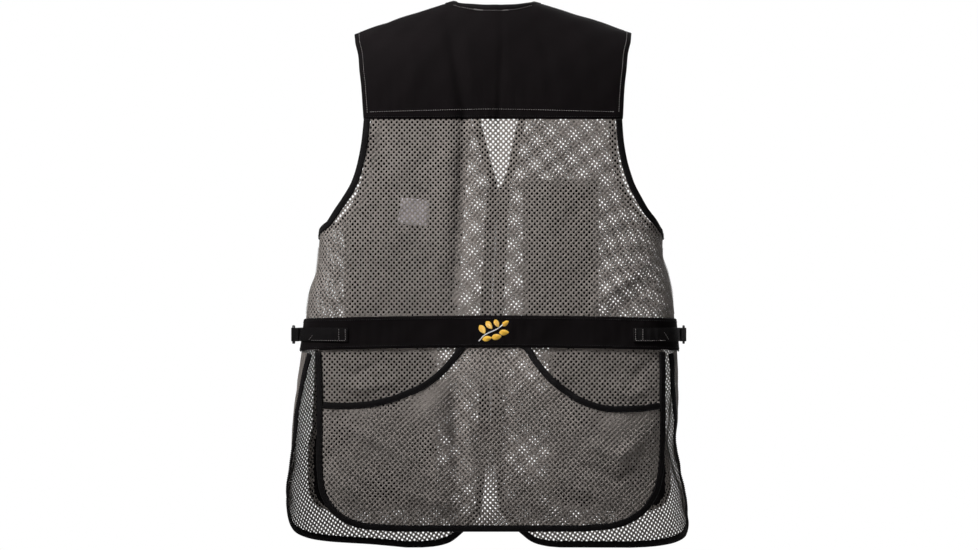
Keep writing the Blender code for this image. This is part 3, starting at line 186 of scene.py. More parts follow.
BODY_CREASES = table("Fold", "path width height", (
    (((-0.066, 0.03), (-0.054, 0.09), (-0.04, 0.15), (-0.046, 0.3)), 0.006, -0.0022),
    (((-0.044, 0.04), (-0.034, 0.1), (-0.024, 0.16), (-0.03, 0.26)), 0.008, 0.0014),
    (((0.01, 0.03), (0.013, 0.09), (0.009, 0.15), (0.006, 0.26)), 0.005, -0.0016),
    (((0.052, 0.03), (0.07, 0.09), (0.086, 0.17)), 0.008, -0.0012),
    (((-0.11, 0.06), (-0.104, 0.11), (-0.112, 0.156)), 0.009, 0.001),
    (((-0.162, 0.176), (-0.142, 0.225), (-0.116, 0.268)), 0.009, -0.0045),
    (((-0.146, 0.168), (-0.122, 0.212), (-0.098, 0.25)), 0.01, 0.0038),
    (((0.13, 0.05), (0.124, 0.11), (0.134, 0.16)), 0.01, 0.001),
    (((0.222, 0.335), (0.18, 0.368), (0.12, 0.412)), 0.007, 0.002),
    (((0.228, 0.362), (0.19, 0.392), (0.15, 0.414)), 0.006, -0.0016),
    (((0.19, 0.3), (0.15, 0.35), (0.1, 0.385)), 0.008, -0.0012),
    (((-0.226, 0.34), (-0.19, 0.372), (-0.15, 0.412)), 0.007, 0.0016),
    (((-0.205, 0.318), (-0.16, 0.35), (-0.1, 0.372)), 0.008, -0.0012),
    (((-0.222, 0.468), (-0.185, 0.496), (-0.14, 0.474)), 0.007, -0.0033),
    (((-0.222, 0.5), (-0.18, 0.516), (-0.12, 0.5)), 0.007, 0.0027),
    (((0.216, 0.47), (0.184, 0.502), (0.146, 0.47)), 0.007, -0.0033),
    (((0.212, 0.51), (0.18, 0.524), (0.14, 0.505)), 0.007, 0.0024),
    (((0.35, 0.33), (0.39, 0.38), (0.45, 0.412)), 0.008, 0.0016),
    (((-0.35, 0.33), (-0.385, 0.385), (-0.44, 0.41)), 0.008, 0.0016),
    (((0.33, 0.48), (0.345, 0.56), (0.335, 0.69)), 0.01, -0.003),
    (((-0.33, 0.48), (-0.34, 0.58), (-0.33, 0.7)), 0.01, -0.003),
    (((0.47, 0.445), (0.462, 0.54), (0.47, 0.64)), 0.009, 0.0021),
    (((-0.49, 0.445), (-0.48, 0.54), (-0.485, 0.65)), 0.009, 0.0021),
))
POUCH_FOLDS = table("Fold", "path width height", (
    (((-0.05, 0.455), (-0.04, 0.68)), 0.013, -0.0045),
    (((-0.026, 0.455), (-0.02, 0.69)), 0.014, 0.003),
    (((0.1, 0.53), (0.16, 0.64)), 0.018, 0.0045),
    (((0.215, 0.55), (0.15, 0.65)), 0.018, 0.004),
    (((-0.22, 0.6), (-0.165, 0.68)), 0.016, 0.0035),
    (((-0.205, 0.545), (-0.11, 0.6)), 0.02, 0.003),
))
POUCH_CREASES = table("Fold", "path width height", (
    (((0.1, 0.548), (0.128, 0.588), (0.165, 0.604), (0.205, 0.572)), 0.008, 0.0043),
    (((0.078, 0.56), (0.115, 0.616), (0.165, 0.634), (0.212, 0.606)), 0.008, -0.004),
    (((0.06, 0.59), (0.105, 0.646), (0.165, 0.664)), 0.009, 0.0036),
    (((-0.222, 0.612), (-0.2, 0.64), (-0.172, 0.672)), 0.0055, 0.0043),
    (((-0.222, 0.59), (-0.188, 0.63), (-0.15, 0.664)), 0.006, -0.004),
    (((-0.216, 0.556), (-0.16, 0.58), (-0.104, 0.612)), 0.007, 0.0032),
    (((-0.056, 0.48), (-0.052, 0.56), (-0.046, 0.65)), 0.008, -0.005),
    (((-0.084, 0.505), (-0.078, 0.6), (-0.068, 0.69)), 0.012, 0.005),
    (((-0.036, 0.5), (-0.03, 0.59), (-0.024, 0.68)), 0.007, 0.0032),
    (((0.012, 0.47), (0.02, 0.56), (0.012, 0.67)), 0.008, -0.0025),
    (((-0.15, 0.64), (-0.09, 0.662), (-0.03, 0.668)), 0.008, 0.0029),
    (((0.03, 0.664), (0.09, 0.676), (0.15, 0.668)), 0.008, 0.0025),
))
PUCKER_HEIGHT = 0.0006
PUCKER_REACH = 0.016
ZIP_CALM, BUCKLE_CALM = 0.03, 0.04

# How the nets were laid when they were cut: their grain, and how far they are stretched
FRONT_GRAIN = {"left": math.radians(12.0), "right": math.radians(-12.0)}
FRONT_PITCH = 0.96
FRONT_HOLES = 0.9
# How far the holes stray and how much they vary in size, how high the knots stand, and how
# much the rims of the holes are rounded in the shading
HOLE_ASTRAY, HOLE_VARIES, KNOT_HEIGHT = 0.00009, 0.035, 0.00022
RIM_ROUND, WALL_TILT = 0.6, 0.2
HOLE_WALL = 0.0006
POUCH_HOLE_WALL = 0.0012
# Below this level the back net lies behind the belt and the pouch, so its holes need no walls.
BACK_WALLS_END = 0.4215
POUCH_GRAIN = math.radians(3.3)

# How finely the shell is worked out
LEVELS = np.linspace(0.0, 0.74, 593)
STEPS_ROUND = 240
NORMAL_STEP = 0.002

# Patches, pockets and label on the fronts, from the centre line
PATCH_EDGE = 0.0008
PATCH_HEM = 0.006
CHEST_BOTTOM = 0.422
CHEST_LEFT_REAR = 0.1955
CHEST_LEFT_FRONT = table("PatchFront", "level across", (
    (0.12, 0.0365), (0.156, 0.0275), (0.17, 0.029), (0.1915, 0.0319), (0.277, 0.0391),
    (0.334, 0.043), (0.4245, 0.0475),
))
CHEST_RIGHT_TOP = 0.236
CHEST_RIGHT_REAR = 0.14
CHEST_RIGHT_FRONT = 0.04
POCKET_TOP = 0.459
POCKET_BOTTOM = 0.678
POCKET_CORNER = 0.03
POCKET_FRONT = 0.075
POCKET_REAR = table("PocketRear", "level left right", (
    (0.4585, 0.233, 0.224), (0.565, 0.237, 0.225), (0.59, 0.242, 0.229),
    (0.62, 0.243, 0.233), (0.6785, 0.242, 0.234),
))
LABEL_WIDTH, LABEL_HEIGHT = 0.0385, 0.0345
LABEL_NEAR, LABEL_FAR = -0.0018, -0.001
# The label's corners as it hangs: distance from the centre line and level
LABEL_CORNERS = ((0.1224, 0.26), (0.0865, 0.2633), (0.1277, 0.2933), (0.0878, 0.2979))

# Hanger loop inside the neck
LOOP_MIDDLE, LOOP_HALF = -0.0014, 0.0187
LOOP_BELOW, LOOP_SAG = 0.001, 0.005
LOOP_WIDTH, LOOP_THICK = 0.0055, 0.001
LOOP_OFF, LOOP_STAND = -0.001, 0.003

# Side straps and their buckles
WEBBING_WIDTH, WEBBING_THICK = 0.018, 0.0014
STRAP_LEVEL = 0.4423
STRAP_START = {"left": 0.192, "right": 0.185}
STRAP_RETURN = 0.55
STRAP_STEP = 0.001
STRAP_LAST = {"left": 0.27691, "right": 0.27028}
STRAP_FRONT_REACH, STRAP_FRONT_LEAVE = 0.115, 0.07
BUCKLE_PAST = 0.02
BUCKLE_OFF = {"left": 0.016, "right": 0.0125}
BUCKLE_TURN = {"left": 10.0, "right": 7.0}
BAR_HALF, BAR_CLEAR = 0.0016, 0.0006
STRAP_TURN = WEBBING_THICK / 2 + BAR_HALF + BAR_CLEAR
BAR_REAR, BAR_MIDDLE, BAR_FRONT = -0.011, 0.0005, 0.011
RAIL, RAIL_CLEAR = 0.003, 0.0004
STACK, TAIL_LENGTH = 0.0019, 0.03

# Zip
ZIP_TOP, ZIP_END = 0.2462, 0.597
ZIP_TAPE_WIDTH, ZIP_TAPE_NEAR, ZIP_TAPE_FAR = 0.013, -0.002, -0.001
CHAIN_HALF, CHAIN_NEAR, CHAIN_FAR = 0.002, -0.0019, 0.0017
SLIDER_LEVEL = 0.257
SLIDER_NEAR, SLIDER_FAR = 0.0016, 0.0048
PULL_AXIS, PULL_BAR, PULL_HALF, PULL_RAIL = 0.0016, 0.0014, 0.0032, 0.0015
PULL_EYE, PULL_LENGTH = 0.0064, 0.028
TEETH_START, TEETH_END, STOP_ASIDE = 0.0035, 0.01, 0.0011
TOOTH_HALF = ((-0.0005, -0.0003), (0.0004, -0.0006), (0.0013, -0.0004), (0.0021, -0.0006))
SLIDER_HALF = ((0.0026, -0.0054), (0.003, -0.0048), (0.0032, -0.002), (0.0038, 0.001),
               (0.0041, 0.0034), (0.0038, 0.0048), (0.003, 0.0055))
BRIDGE = ((-0.0038, 0.0), (-0.0038, 0.0024), (-0.0034, 0.0034), (-0.0024, 0.0037),
          (0.0024, 0.0037), (0.0034, 0.0034), (0.0038, 0.0024), (0.0038, 0.0))
# Sections: width, height and the corners' radius
STOP, BOX, RIB = (0.0018, 0.0024, 0.0005), (0.0056, 0.0098, 0.0009), (0.0044, 0.0009, 0.0004)
RIB_FIRST, RIB_STEP = 0.0045, 0.0024
HARD_EDGE = math.radians(32)
RIGHT = np.array([1.0, 0, 0])

# Stitches on the straps and the belt. Each line runs between two places: how far along
# the strap from its sewn end, and how far below its middle.
STRAP_STITCHES = {
    "left": (((0.0028, -0.0078), (0.0028, 0.0078)), ((0.0116, -0.0078), (0.0116, 0.0078)),
             ((0.003, 0.0078), (0.053, 0.0078)), ((0.05, 0.001), (0.057, 0.0084))),
    "right": (((0.003, -0.0078), (0.003, 0.0078)), ((0.0129, -0.0078), (0.0129, 0.0078)),
              ((0.0032, 0.0078), (0.046, 0.0078)), ((0.044, -0.003), (0.051, 0.007))),
}
BELT_ROW, BELT_END_ROW = 0.003, 0.0016
YOKE_SIDE_ROW, YOKE_LOW_ROW, YOKE_EDGE_ROW = 0.0055, 0.0075, 0.002
PATCH_ROW, LABEL_ROW, LABEL_THREAD = 0.0025, 0.0012, 0.0004
TACK_SHIFT, TACK_LENGTH, TACK_PITCH = 0.0004, 0.0011, 0.0009
ZIGZAG, ZIGZAG_PITCH = 0.0013, 0.0026
ALL_ROUND = ("top", "bottom", "first", "last")
# A stitch's rings along its length, and how far it stands above and below its row
STITCH_RINGS = (0, 0.2, 0.8, 1)
STITCH_ABOVE, STITCH_BELOW = 0.75, 0.2

# Cuts of the net and yoke pieces before they are shaped: width and length
BACK_CUT, FRONT_CUT, POUCH_CUT = (0.56, 0.56), (0.3, 0.62), (0.48, 0.26)
YOKE_CUT, FRONT_YOKE_CUT = (0.4, 0.2), (0.15, 0.15)
BELT_STITCHES = ((-0.25, -0.229), (0.223, 0.235))

# Embroidered sprig on the belt: its middle, then each leaf's middle from there, its
# length and width, and its turn in degrees, and the bends of the stem
MOTIF_PLACE = (0.0004, 0.4378)
LEAVES = table("Leaf", "across down length width turn", (
    (-0.0146, -0.0026, 0.0132, 0.0076, 58),
    (-0.0084, 0.0096, 0.0124, 0.0066, -12),
    (-0.0056, -0.0082, 0.0128, 0.007, 52),
    (0.0042, 0.0074, 0.0134, 0.0074, -8),
    (0.0044, -0.0108, 0.011, 0.006, 66),
    (0.0142, 0.0014, 0.013, 0.007, -2),
    (0.016, -0.0106, 0.0106, 0.0056, -36),
))
STEM = ((-0.019, 0.0128), (-0.012, 0.0046), (-0.002, 0.0002), (0.007, -0.004), (0.0128, -0.0094))
STEM_WIDTH = 0.0013
SATIN_HEIGHT = 0.0007

# Camera and stage
PHOTO_SCALE = 0.00133
PHOTO_WIDTH, PHOTO_HEIGHT = 978, 550
PHOTO_AXIS, PHOTO_TOP = 493, 2
LENS, SENSOR = 600.0, 36.0
FLOOR_LEVEL, FLOOR_HALF = -1.42, 9.0
ROOM_LIGHT_BACK, ROOM_LIGHT_FRONT = 0.03, 0.07
CLIP_NEAR, CLIP_FAR = 0.5, 90.0
# A soft key from the upper left, an even fill, light through the nets from behind, and
# lamps that look straight down at the floor so that it is as pale from every side
LAMPS = table("Lamp", "name place aim size power spread", (
    ("key", (-1.25, -1.0, 1.35), (0.02, 0, -0.3), 0.8, 4.8, 34),
    ("fill", (2.8, -3.0, 0.6), (0, 0, -0.36), 2.6, 3.0, 180),
    ("behind", (1.4, 3.2, 1.6), (0, 0, -0.36), 2.0, 50.0, 180),
    ("floor_rear", (0, -7.0, 3.4), (0, -7.0, FLOOR_LEVEL), 10.0, 120.0, 60),
    ("floor_front", (0, 7.0, 3.4), (0, 7.0, FLOOR_LEVEL), 10.0, 150.0, 60),
    ("overhead", (0, 0, 4.5), (0, 0, FLOOR_LEVEL), 6.0, 42.0, 60),
))


def linear(code):
    """Linear light of an sRGB hex colour."""
    parts = [int(code[i : i + 2], 16) / 255 for i in (0, 2, 4)]
    return [v / 12.92 if v <= 0.04045 else ((v + 0.055) / 1.055) ** 2.4 for v in parts]


def colour_property(name, code, description):
    return FloatVectorProperty(
        name=name, description=description, subtype="COLOR", size=3, min=0, max=1, default=linear(code)
    )


def size_property(name, default, description):
    return FloatProperty(
        name=name, description=description, default=default, unit="LENGTH", min=0, precision=5
    )


class VestSizes(bpy.types.PropertyGroup):
    net_across: size_property("Net repeat across", 0.0069, "From one hole to the next in its row")
    net_down: size_property("Net repeat down", 0.0073, "From one row to the next but one")
    hole_width: size_property("Hole width", 0.0029, "Width of a hole of the net")
    hole_height: size_property("Hole height", 0.0032, "Height of a hole of the net")
    tape_width: size_property("Binding width", 0.0087, "Width of the folded binding tape")
    belt_height: size_property("Belt height", 0.041, "Height of the waist belt")
    stitch_pitch: size_property("Stitch pitch", 0.0031, "From one topstitch to the next")
    stitch_length: size_property("Stitch length", 0.0025, "Length of one topstitch that shows")
    stitch_width: size_property("Stitch width", 0.0007, "Width of the topstitching thread")
    tooth_pitch: size_property("Tooth pitch", 0.0025, "From one zip tooth to the next on its side")
    cloth_step: size_property("Cloth step", 0.003, "How far apart the points of a cloth piece are")
    crease_depth: FloatProperty(
        name="Crease depth", description="How deep the added creases are", default=1.0, min=0, max=2
    )
    seed: IntProperty(name="Seed", description="Start of the small unevenness of the net", default=7)


class VestColours(bpy.types.PropertyGroup):
    twill: colour_property("Twill", "0C090A", "Black twill of the yokes, belt, patches and pockets")
    net: colour_property("Net", "807974", "Grey yarn of the net")
    tape: colour_property("Binding", "0B090A", "Black binding tape")
    webbing: colour_property("Webbing", "0C0A0B", "Black webbing")
    thread: colour_property("Topstitching", "6E6A69", "Grey topstitching thread")
    dark_thread: colour_property("Sewing thread", "171516", "Black sewing thread")
    label: colour_property("Label", "B8B2B9", "Plain woven label")
    plastic: colour_property("Buckles", "19191B", "Moulded buckles")
    metal: colour_property("Zip", "55555A", "Blackened metal of the zip")
    gold: colour_property("Gold thread", "F8BC38", "Gold embroidery thread")
    pale: colour_property("Pale thread", "E2E0E4", "Pale embroidery thread")
    floor: colour_property("Floor", "F4F4F3", "Floor under the vest")


def vest_sizes():
    return bpy.context.scene.vest_sizes


def smooth(at, knots, values):
    """A soft curve through a short table, level beyond its ends, that never overshoots."""
    knots = np.asarray(knots, float)
    values = np.asarray(values, float)
    rise = np.diff(values) / np.diff(knots)
    same_way = rise[:-1] * rise[1:] > 0
    total = np.where(same_way, rise[:-1] + rise[1:], 1)
    between = np.where(same_way, 2 * rise[:-1] * rise[1:] / total, 0)
    slope = np.concatenate([rise[:1], between, rise[-1:]])
    at = np.clip(at, knots[0], knots[-1])
    i = np.clip(np.searchsorted(knots, at, side="right") - 1, 0, len(knots) - 2)
    run = knots[i + 1] - knots[i]
    t = (at - knots[i]) / run
    start = (1 + 2 * t) * (1 - t) ** 2 * values[i] + t * (1 - t) ** 2 * run * slope[i]
    end = t * t * (3 - 2 * t) * values[i + 1] + t * t * (t - 1) * run * slope[i + 1]
    return start + end


def column(rows, name):
    return np.array([getattr(row, name) for row in rows])


def read(rows, name, at, key="level"):
    return smooth(at, column(rows, key), column(rows, name))


def quarter(half_width, depth, curve):
    """A quarter ring from its middle to the side: its length, and even points on it."""
    turn = np.linspace(0, math.pi / 2, 721)
    across = half_width * np.sin(turn) ** (2 / curve)
    deep = depth * np.abs(np.cos(turn)) ** (2 / curve)
    run = np.concatenate([[0], np.cumsum(np.hypot(np.diff(across), np.diff(deep)))])
    even = np.linspace(0, run[-1], STEPS_ROUND + 1)
    return run[-1], np.interp(even, run, across), np.interp(even, run, deep)


def shell_tables():
    """For each side, the ring at every level: quarter lengths and even points."""
    tables = {}
    bends = np.sin(np.clip(LEVELS / YOKE_LEVEL, 0, 1) * math.pi / 2)
    held = np.maximum(LEVELS, YOKE_LEVEL)
    backs = read(SECTIONS, "back", held) * bends
    fronts = read(SECTIONS, "front", held) * bends
    for side, name in ((-1, "left"), (1, "right")):
        lengths, across, deep = [], [], []
        for half_width, rear, fore in zip(read(SECTIONS, name, held), backs, fronts):
            back = quarter(half_width, rear, CURVE_BACK)
            front = quarter(half_width, fore, CURVE_FRONT)
            lengths.append((back[0], front[0]))
            across.append(np.concatenate([back[1], front[1][::-1][1:]]))
            deep.append(np.concatenate([-back[2], front[2][::-1][1:]]))
        tables[side] = (np.array(lengths), np.array(across), np.array(deep))
    return tables


TABLES = shell_tables()


def quarter_lengths(side, level):
    lengths = TABLES[side][0]
    return np.interp(level, LEVELS, lengths[:, 0]), np.interp(level, LEVELS, lengths[:, 1])


def drop(across):
    """The shoulder seam's fall at this distance from the centre line."""
    return SHOULDER_SLOPE * (np.sqrt(across**2 + SHOULDER_ROUND**2) - NECK_HALF)


def one_side(side, girth, level):
    """Points of the shell on one side, by distance round from the centre back."""
    back, front = quarter_lengths(side, level)
    place = np.where(girth <= back, girth / back, 1 + (girth - back) / front)
    place = np.clip(place, 0, 2) * STEPS_ROUND
    row = np.clip(np.searchsorted(LEVELS, level, side="right") - 1, 0, len(LEVELS) - 2)
    down = np.clip((level - LEVELS[row]) / (LEVELS[1] - LEVELS[0]), 0, 1)
    step = np.clip(place.astype(int), 0, 2 * STEPS_ROUND - 1)
    along = place - step
    found = []
    for grid in TABLES[side][1:]:
        upper = grid[row, step] * (1 - along) + grid[row, step + 1] * along
        lower = grid[row + 1, step] * (1 - along) + grid[row + 1, step + 1] * along
        found.append(upper * (1 - down) + lower * down)
    across, deep = found
    bend = 1 - np.cos(np.clip(level / YOKE_LEVEL, 0, 1) * math.pi / 2)
    fall = drop(across)
    if side < 0:
        fall = fall + SHOULDER_LOWER_LEFT * np.maximum(across - NECK_HALF, 0)
    high = -np.where(level < YOKE_LEVEL, (1 - bend) * fall + bend * YOKE_LEVEL, level)
    return np.stack([side * across, deep, high], axis=-1)


def shell(girth, level):
    """Points of the shell. A girth past the centre front comes out on the other side."""
    girth, level = np.broadcast_arrays(np.asarray(girth, float), np.asarray(level, float))
    side = np.where(girth < 0, -1, 1)
    far = np.abs(girth)
    points = np.zeros(girth.shape + (3,))
    for this in (-1, 1):
        whole = sum(quarter_lengths(this, level))
        other = sum(quarter_lengths(-this, level))
        near = (side == this) & (far <= whole)
        past = (side == -this) & (far > other)
        points[near] = one_side(this, far[near], level[near])
        points[past] = one_side(this, (whole - (far - other))[past], level[past])
    return points


def unit(vectors, least=1e-12):
    """The vectors at length 1, or shorter where they are under the least."""
    return vectors / np.maximum(np.linalg.norm(vectors, axis=-1, keepdims=True), least)


def outward(girth, level):
    """Unit normals of the shell, pointing away from the wearer."""
    girth, level = np.broadcast_arrays(np.asarray(girth, float), np.asarray(level, float))
    lower = np.maximum(level - NORMAL_STEP, 0)
    round_it = shell(girth + NORMAL_STEP, level) - shell(girth - NORMAL_STEP, level)
    down = shell(girth, level + NORMAL_STEP) - shell(girth, lower)
    return unit(-np.cross(round_it, down))


def folded(folds, girth, level):
    """How far the folds raise the cloth at each place."""
    raised = np.zeros(np.broadcast(girth, level).shape)
    for fold in folds:
        path = np.array(fold.path)
        steps = np.diff(path, axis=0)
        lengths = np.hypot(*steps.T)
        whole = lengths.sum()
        best = np.full(raised.shape, np.inf)
        fade = np.zeros(raised.shape)
        for (g, l), (run_g, run_l), length, before in zip(path, steps, lengths, np.cumsum(lengths) - lengths):
            along = ((girth - g) * run_g + (level - l) * run_l) / length**2
            held = np.clip(along, 0, 1)
            aside = np.hypot(girth - g - held * run_g, level - l - held * run_l)
            nearer = aside < best
            best = np.where(nearer, aside, best)
            share = (before + held * length) / whole
            fade = np.where(nearer, np.sin(share * math.pi) ** 0.8, fade)
        raised = raised + fold.height * fade * np.exp(-((best / fold.width) ** 2))
    return raised


def zip_calm(girth, level):
    """0 at the zip and the buckles, where the cloth has no creases of its own, rising to 1."""
    whole = np.where(girth < 0, sum(quarter_lengths(-1, level)), sum(quarter_lengths(1, level)))
    seam = np.where(girth < 0, quarter_lengths(-1, level)[0], quarter_lengths(1, level)[0])
    at_zip = np.clip((whole - np.abs(girth)) / ZIP_CALM - 0.6, 0, 1)
    at_buckle = np.hypot(np.abs(girth) - seam - BUCKLE_PAST, level - STRAP_LEVEL)
    return at_zip * np.clip(at_buckle / BUCKLE_CALM - 0.6, 0, 1)


def puckers(girth, level):
    """Small gathers that the seams pull into the cloth beside them."""
    wave = np.sin(girth * 520 + 1.7 * np.sin(girth * 61)) * (0.6 + 0.4 * np.sin(girth * 37 + 1))
    line = np.where(np.abs(girth) < 0.26, YOKE_LEVEL, FRONT_YOKE_LEVEL)
    beside = np.exp(-np.abs(level - line) / PUCKER_REACH)
    belt = np.exp(-np.abs(level - BELT_LEVEL - 0.02) / 0.03) * 0.7
    return PUCKER_HEIGHT * wave * (beside + belt)


def ripples(girth, level):
    """Low unevenness of worn cloth."""
    return 0.00035 * (
        np.sin(girth * 96 + 2.1 * np.sin(level * 31))
        + np.sin(level * 83 + 1.6 * np.sin(girth * 47 + 1))
        + 0.7 * np.sin((girth + level) * 141)
    )


def relief(girth, level):
    """How far the cloth stands out from the plain shell."""
    depth = vest_sizes().crease_depth
    own = folded(BODY_CREASES, girth, level) + puckers(girth, level) + ripples(girth, level)
    return folded(BODY_FOLDS, girth, level) + own * zip_calm(girth, level) * depth


def placed(girth, level, away):
    girth, level, away = np.broadcast_arrays(girth, level, away)
    return shell(girth, level) + outward(girth, level) * (away + relief(girth, level))[..., None]


def girth_on(side, across, level, start):
    """Girth by distance from the centre line, over the quarter that starts at this step."""
    level = np.atleast_1d(np.asarray(level, float))
    across = np.broadcast_to(np.asarray(across, float), level.shape)
    back, front = quarter_lengths(side, level)
    grid = TABLES[side][1][:, start : start + STEPS_ROUND + 1]
    steps = np.linspace(0, 1, STEPS_ROUND + 1)
    place = np.clip((level - LEVELS[0]) / (LEVELS[1] - LEVELS[0]), 0, len(LEVELS) - 1.001)
    found = []
    for one, at, rear, fore in zip(across.ravel(), place.ravel(), back.ravel(), front.ravel()):
        row = int(at)
        reach = grid[row] * (row + 1 - at) + grid[row + 1] * (at - row)
        if start:
            found.append(rear + np.interp(one, reach[::-1], steps[::-1]) * fore)
        else:
            found.append(np.interp(one, reach, steps) * rear)
    return side * np.array(found).reshape(level.shape)


def girth_back(side, across, level):
    """Girth of the place on the back at this distance from the centre line."""
    return girth_on(side, across, level, 0)


def girth_front(side, across, level):
    """Girth of the place on the front; a distance under 0 is past the centre front."""
    level = np.atleast_1d(np.asarray(level, float))
    across = np.broadcast_to(np.asarray(across, float), level.shape)
    whole = sum(quarter_lengths(side, level))
    found = girth_on(side, np.maximum(across, 0), level, STEPS_ROUND)
    return np.where(across > 0, found, side * (whole - across))


def side_name(side):
    return "left" if side < 0 else "right"


def distances(line):
    """How far along a line each of its points is."""
    return np.concatenate([[0], np.cumsum(np.linalg.norm(np.diff(line, axis=0), axis=1))])


def points_at(at, run, line):
    """The points of a line at these distances along its run."""
    return np.stack([np.interp(at, run, one) for one in line.T], axis=1)


def spaced(line, step):
    """The same line with its places this far apart."""
    run = distances(line)
    return points_at(np.linspace(0, run[-1], max(2, int(round(run[-1] / step)) + 1)), run, line)


def line_of(girth, level):
    return np.stack([girth, level], axis=1)


def sideways(line):
    """At each place of a line, the step to the left of its direction of travel."""
    step = unit(np.diff(line, axis=0), 1e-9)
    before = np.concatenate([step[:1], step])
    along = unit(before + np.concatenate([step, step[-1:]]))
    stretch = 1 / np.maximum((along * before).sum(axis=1, keepdims=True), 0.7)
    return np.stack([along[:, 1], -along[:, 0]], axis=1) * stretch


def beside(line, distance):
    """The line moved to its left by this distance, or to its right where it is under 0."""
    return line + sideways(line) * distance


def fine(start, end):
    return np.linspace(start, end, max(2, int(abs(end - start) / FINE_STEP)))


def arm_edge(side, face, levels):
    """Girth of the armhole edge of a net at these levels."""
    turn = girth_back if face == "back" else girth_front
    toward = -1 if face == "back" else 1
    name = side_name(side) if face == "back" else "front_" + side_name(side)
    last = ARM_EDGE[-1]
    seam, _ = quarter_lengths(side, last.level)
    reach = abs(abs(turn(side, getattr(last, name), last.level)[0]) - seam)
    knots = np.concatenate([[last.level], column(UNDER_ARM, "level")])
    reaches = np.concatenate([[reach], column(UNDER_ARM, face)])
    upper = turn(side, read(ARM_EDGE, name, levels), levels)
    seam, _ = quarter_lengths(side, levels)
    return np.where(levels <= last.level, upper, side * (seam + toward * smooth(levels, knots, reaches)))


def arm_line(side, face):
    """The armhole edge from the yoke's seam to the side seam, as places."""
    turn = 1 - (1 - np.linspace(0, 1, 240)) ** 2
    levels = ARM_START + (ARM_END - ARM_START) * turn
    line = [line_of(arm_edge(side, face, levels), levels)]
    if face == "front":
        early = fine(FRONT_YOKE_LEVEL + SEAM, ARM_START - 0.001)
        across = read(YOKE_EDGE, "front", early) - vest_sizes().tape_width
        line.insert(0, line_of(girth_front(side, across, early), early))
    return np.concatenate(line)


def side_seam(side, levels, past):
    """Girth of places this far past the side seam, towards the front."""
    seam, _ = quarter_lengths(side, np.asarray(levels))
    return side * (seam + past)


def opening_line(side, start, end):
    levels = fine(start, end)
    across = read(OPENING, "half", levels) + side * read(OPENING, "middle", levels)
    return line_of(girth_front(side, across, levels), levels)


def vent_line(side):
    levels = fine(VENT_TOP, HEM_LEVEL)
    return line_of(side_seam(side, levels, read(VENT, side_name(side), levels)), levels)


def tail_edge(side, levels):
    return girth_back(side, read(TAIL, side_name(side), levels), levels)


def tail_line(side, start):
    levels = fine(start, TAIL[-1].level)
    return line_of(tail_edge(side, levels), levels)


TAIL_KNOTS = fine(TAIL[0].level, TAIL[-1].level)
TAIL_GIRTHS = {side: np.abs(tail_edge(side, TAIL_KNOTS)) for side in (-1, 1)}


def tail_reach(girth, level):
    """How far round the tail's edge is at this level, on the side of each girth."""
    left, right = (np.interp(level, TAIL_KNOTS, TAIL_GIRTHS[side]) for side in (-1, 1))
    return np.where(girth < 0, left, right)


def pouch_swell(girth, level):
    """How far the pouch stands off the back: open at its mouths, shut at its seams."""
    crown = 1 - np.clip(np.abs(girth) / tail_reach(girth, level), 0, 1) ** 4
    low = np.clip((TAIL[-1].level - level) / POUCH_BOTTOM_ROUND, 0, 1)
    mouth = 1 - np.exp(-(((level - POUCH_TOP[0].left) / POUCH_MOUTH_ROUND) ** 2))
    swell = POUCH_GAP * crown * np.sin(low * math.pi / 2) * mouth
    fade = np.clip(swell / POUCH_GAP * 1.6, 0, 1)
    depth = vest_sizes().crease_depth
    folds = folded(POUCH_FOLDS, girth, level) + depth * folded(POUCH_CREASES, girth, level)
    return NET_THICK + LAYER + swell + folds * fade


def pouch_top_line():
    """The pouch's top edge, from its left side to its right."""
    share = np.linspace(-1, 1, 400)
    across = TAIL[0].right * np.abs(share)
    left = read(POUCH_TOP, "left", across, "across")
    right = read(POUCH_TOP, "right", across, "across")
    level = np.maximum(np.where(share < 0, left, right), POUCH_TOP[0].left)
    return line_of(share * tail_reach(share, level), level)


def neck_level(share, half, dip):
    """The level of the back's neckline, by share of the way out from the centre."""
    across = share * half
    wanted = drop(half) + dip * (1 - share**2)
    bent = (wanted - drop(across)) / (YOKE_LEVEL - drop(across))
    return np.arccos(1 - np.clip(bent, 0, 1)) * 2 / math.pi * YOKE_LEVEL


def belt_lower(girth):
    sizes = vest_sizes()
    return BELT_LEVEL + sizes.belt_height + BELT_END_DROP * (girth / SECTIONS[7].right) ** 2


def add_node(tree, kind, settings=None, inputs=None):
    """Adds a node with its own settings, and values or other nodes' outputs for its inputs."""
    node = tree.nodes.new(kind)
    for name, value in (settings or {}).items():
        setattr(node, name, value)
    for name, value in (inputs or {}).items():
        if isinstance(value, bpy.types.NodeSocket):
            tree.links.new(value, node.inputs[name])
        else:
            node.inputs[name].default_value = value
    return node


def thread_rows(spacing, direction, distortion=0.0, waviness=0.004):
    """Rows of thread this far apart: a texture's kind, settings and inputs."""
    slant = 1.414 if direction == "DIAGONAL" else 1.0
    return "ShaderNodeTexWave", {"bands_direction": direction}, {
        "Scale": math.pi / (10 * spacing * slant) * 2, "Distortion": distortion, "Detail": 1.0,
        "Detail Scale": spacing / waviness}


def grains(size):
    """Grain or fuzz of this size, in the same form."""
    return "ShaderNodeTexNoise", None, {"Scale": 1 / size, "Detail": 2.0}


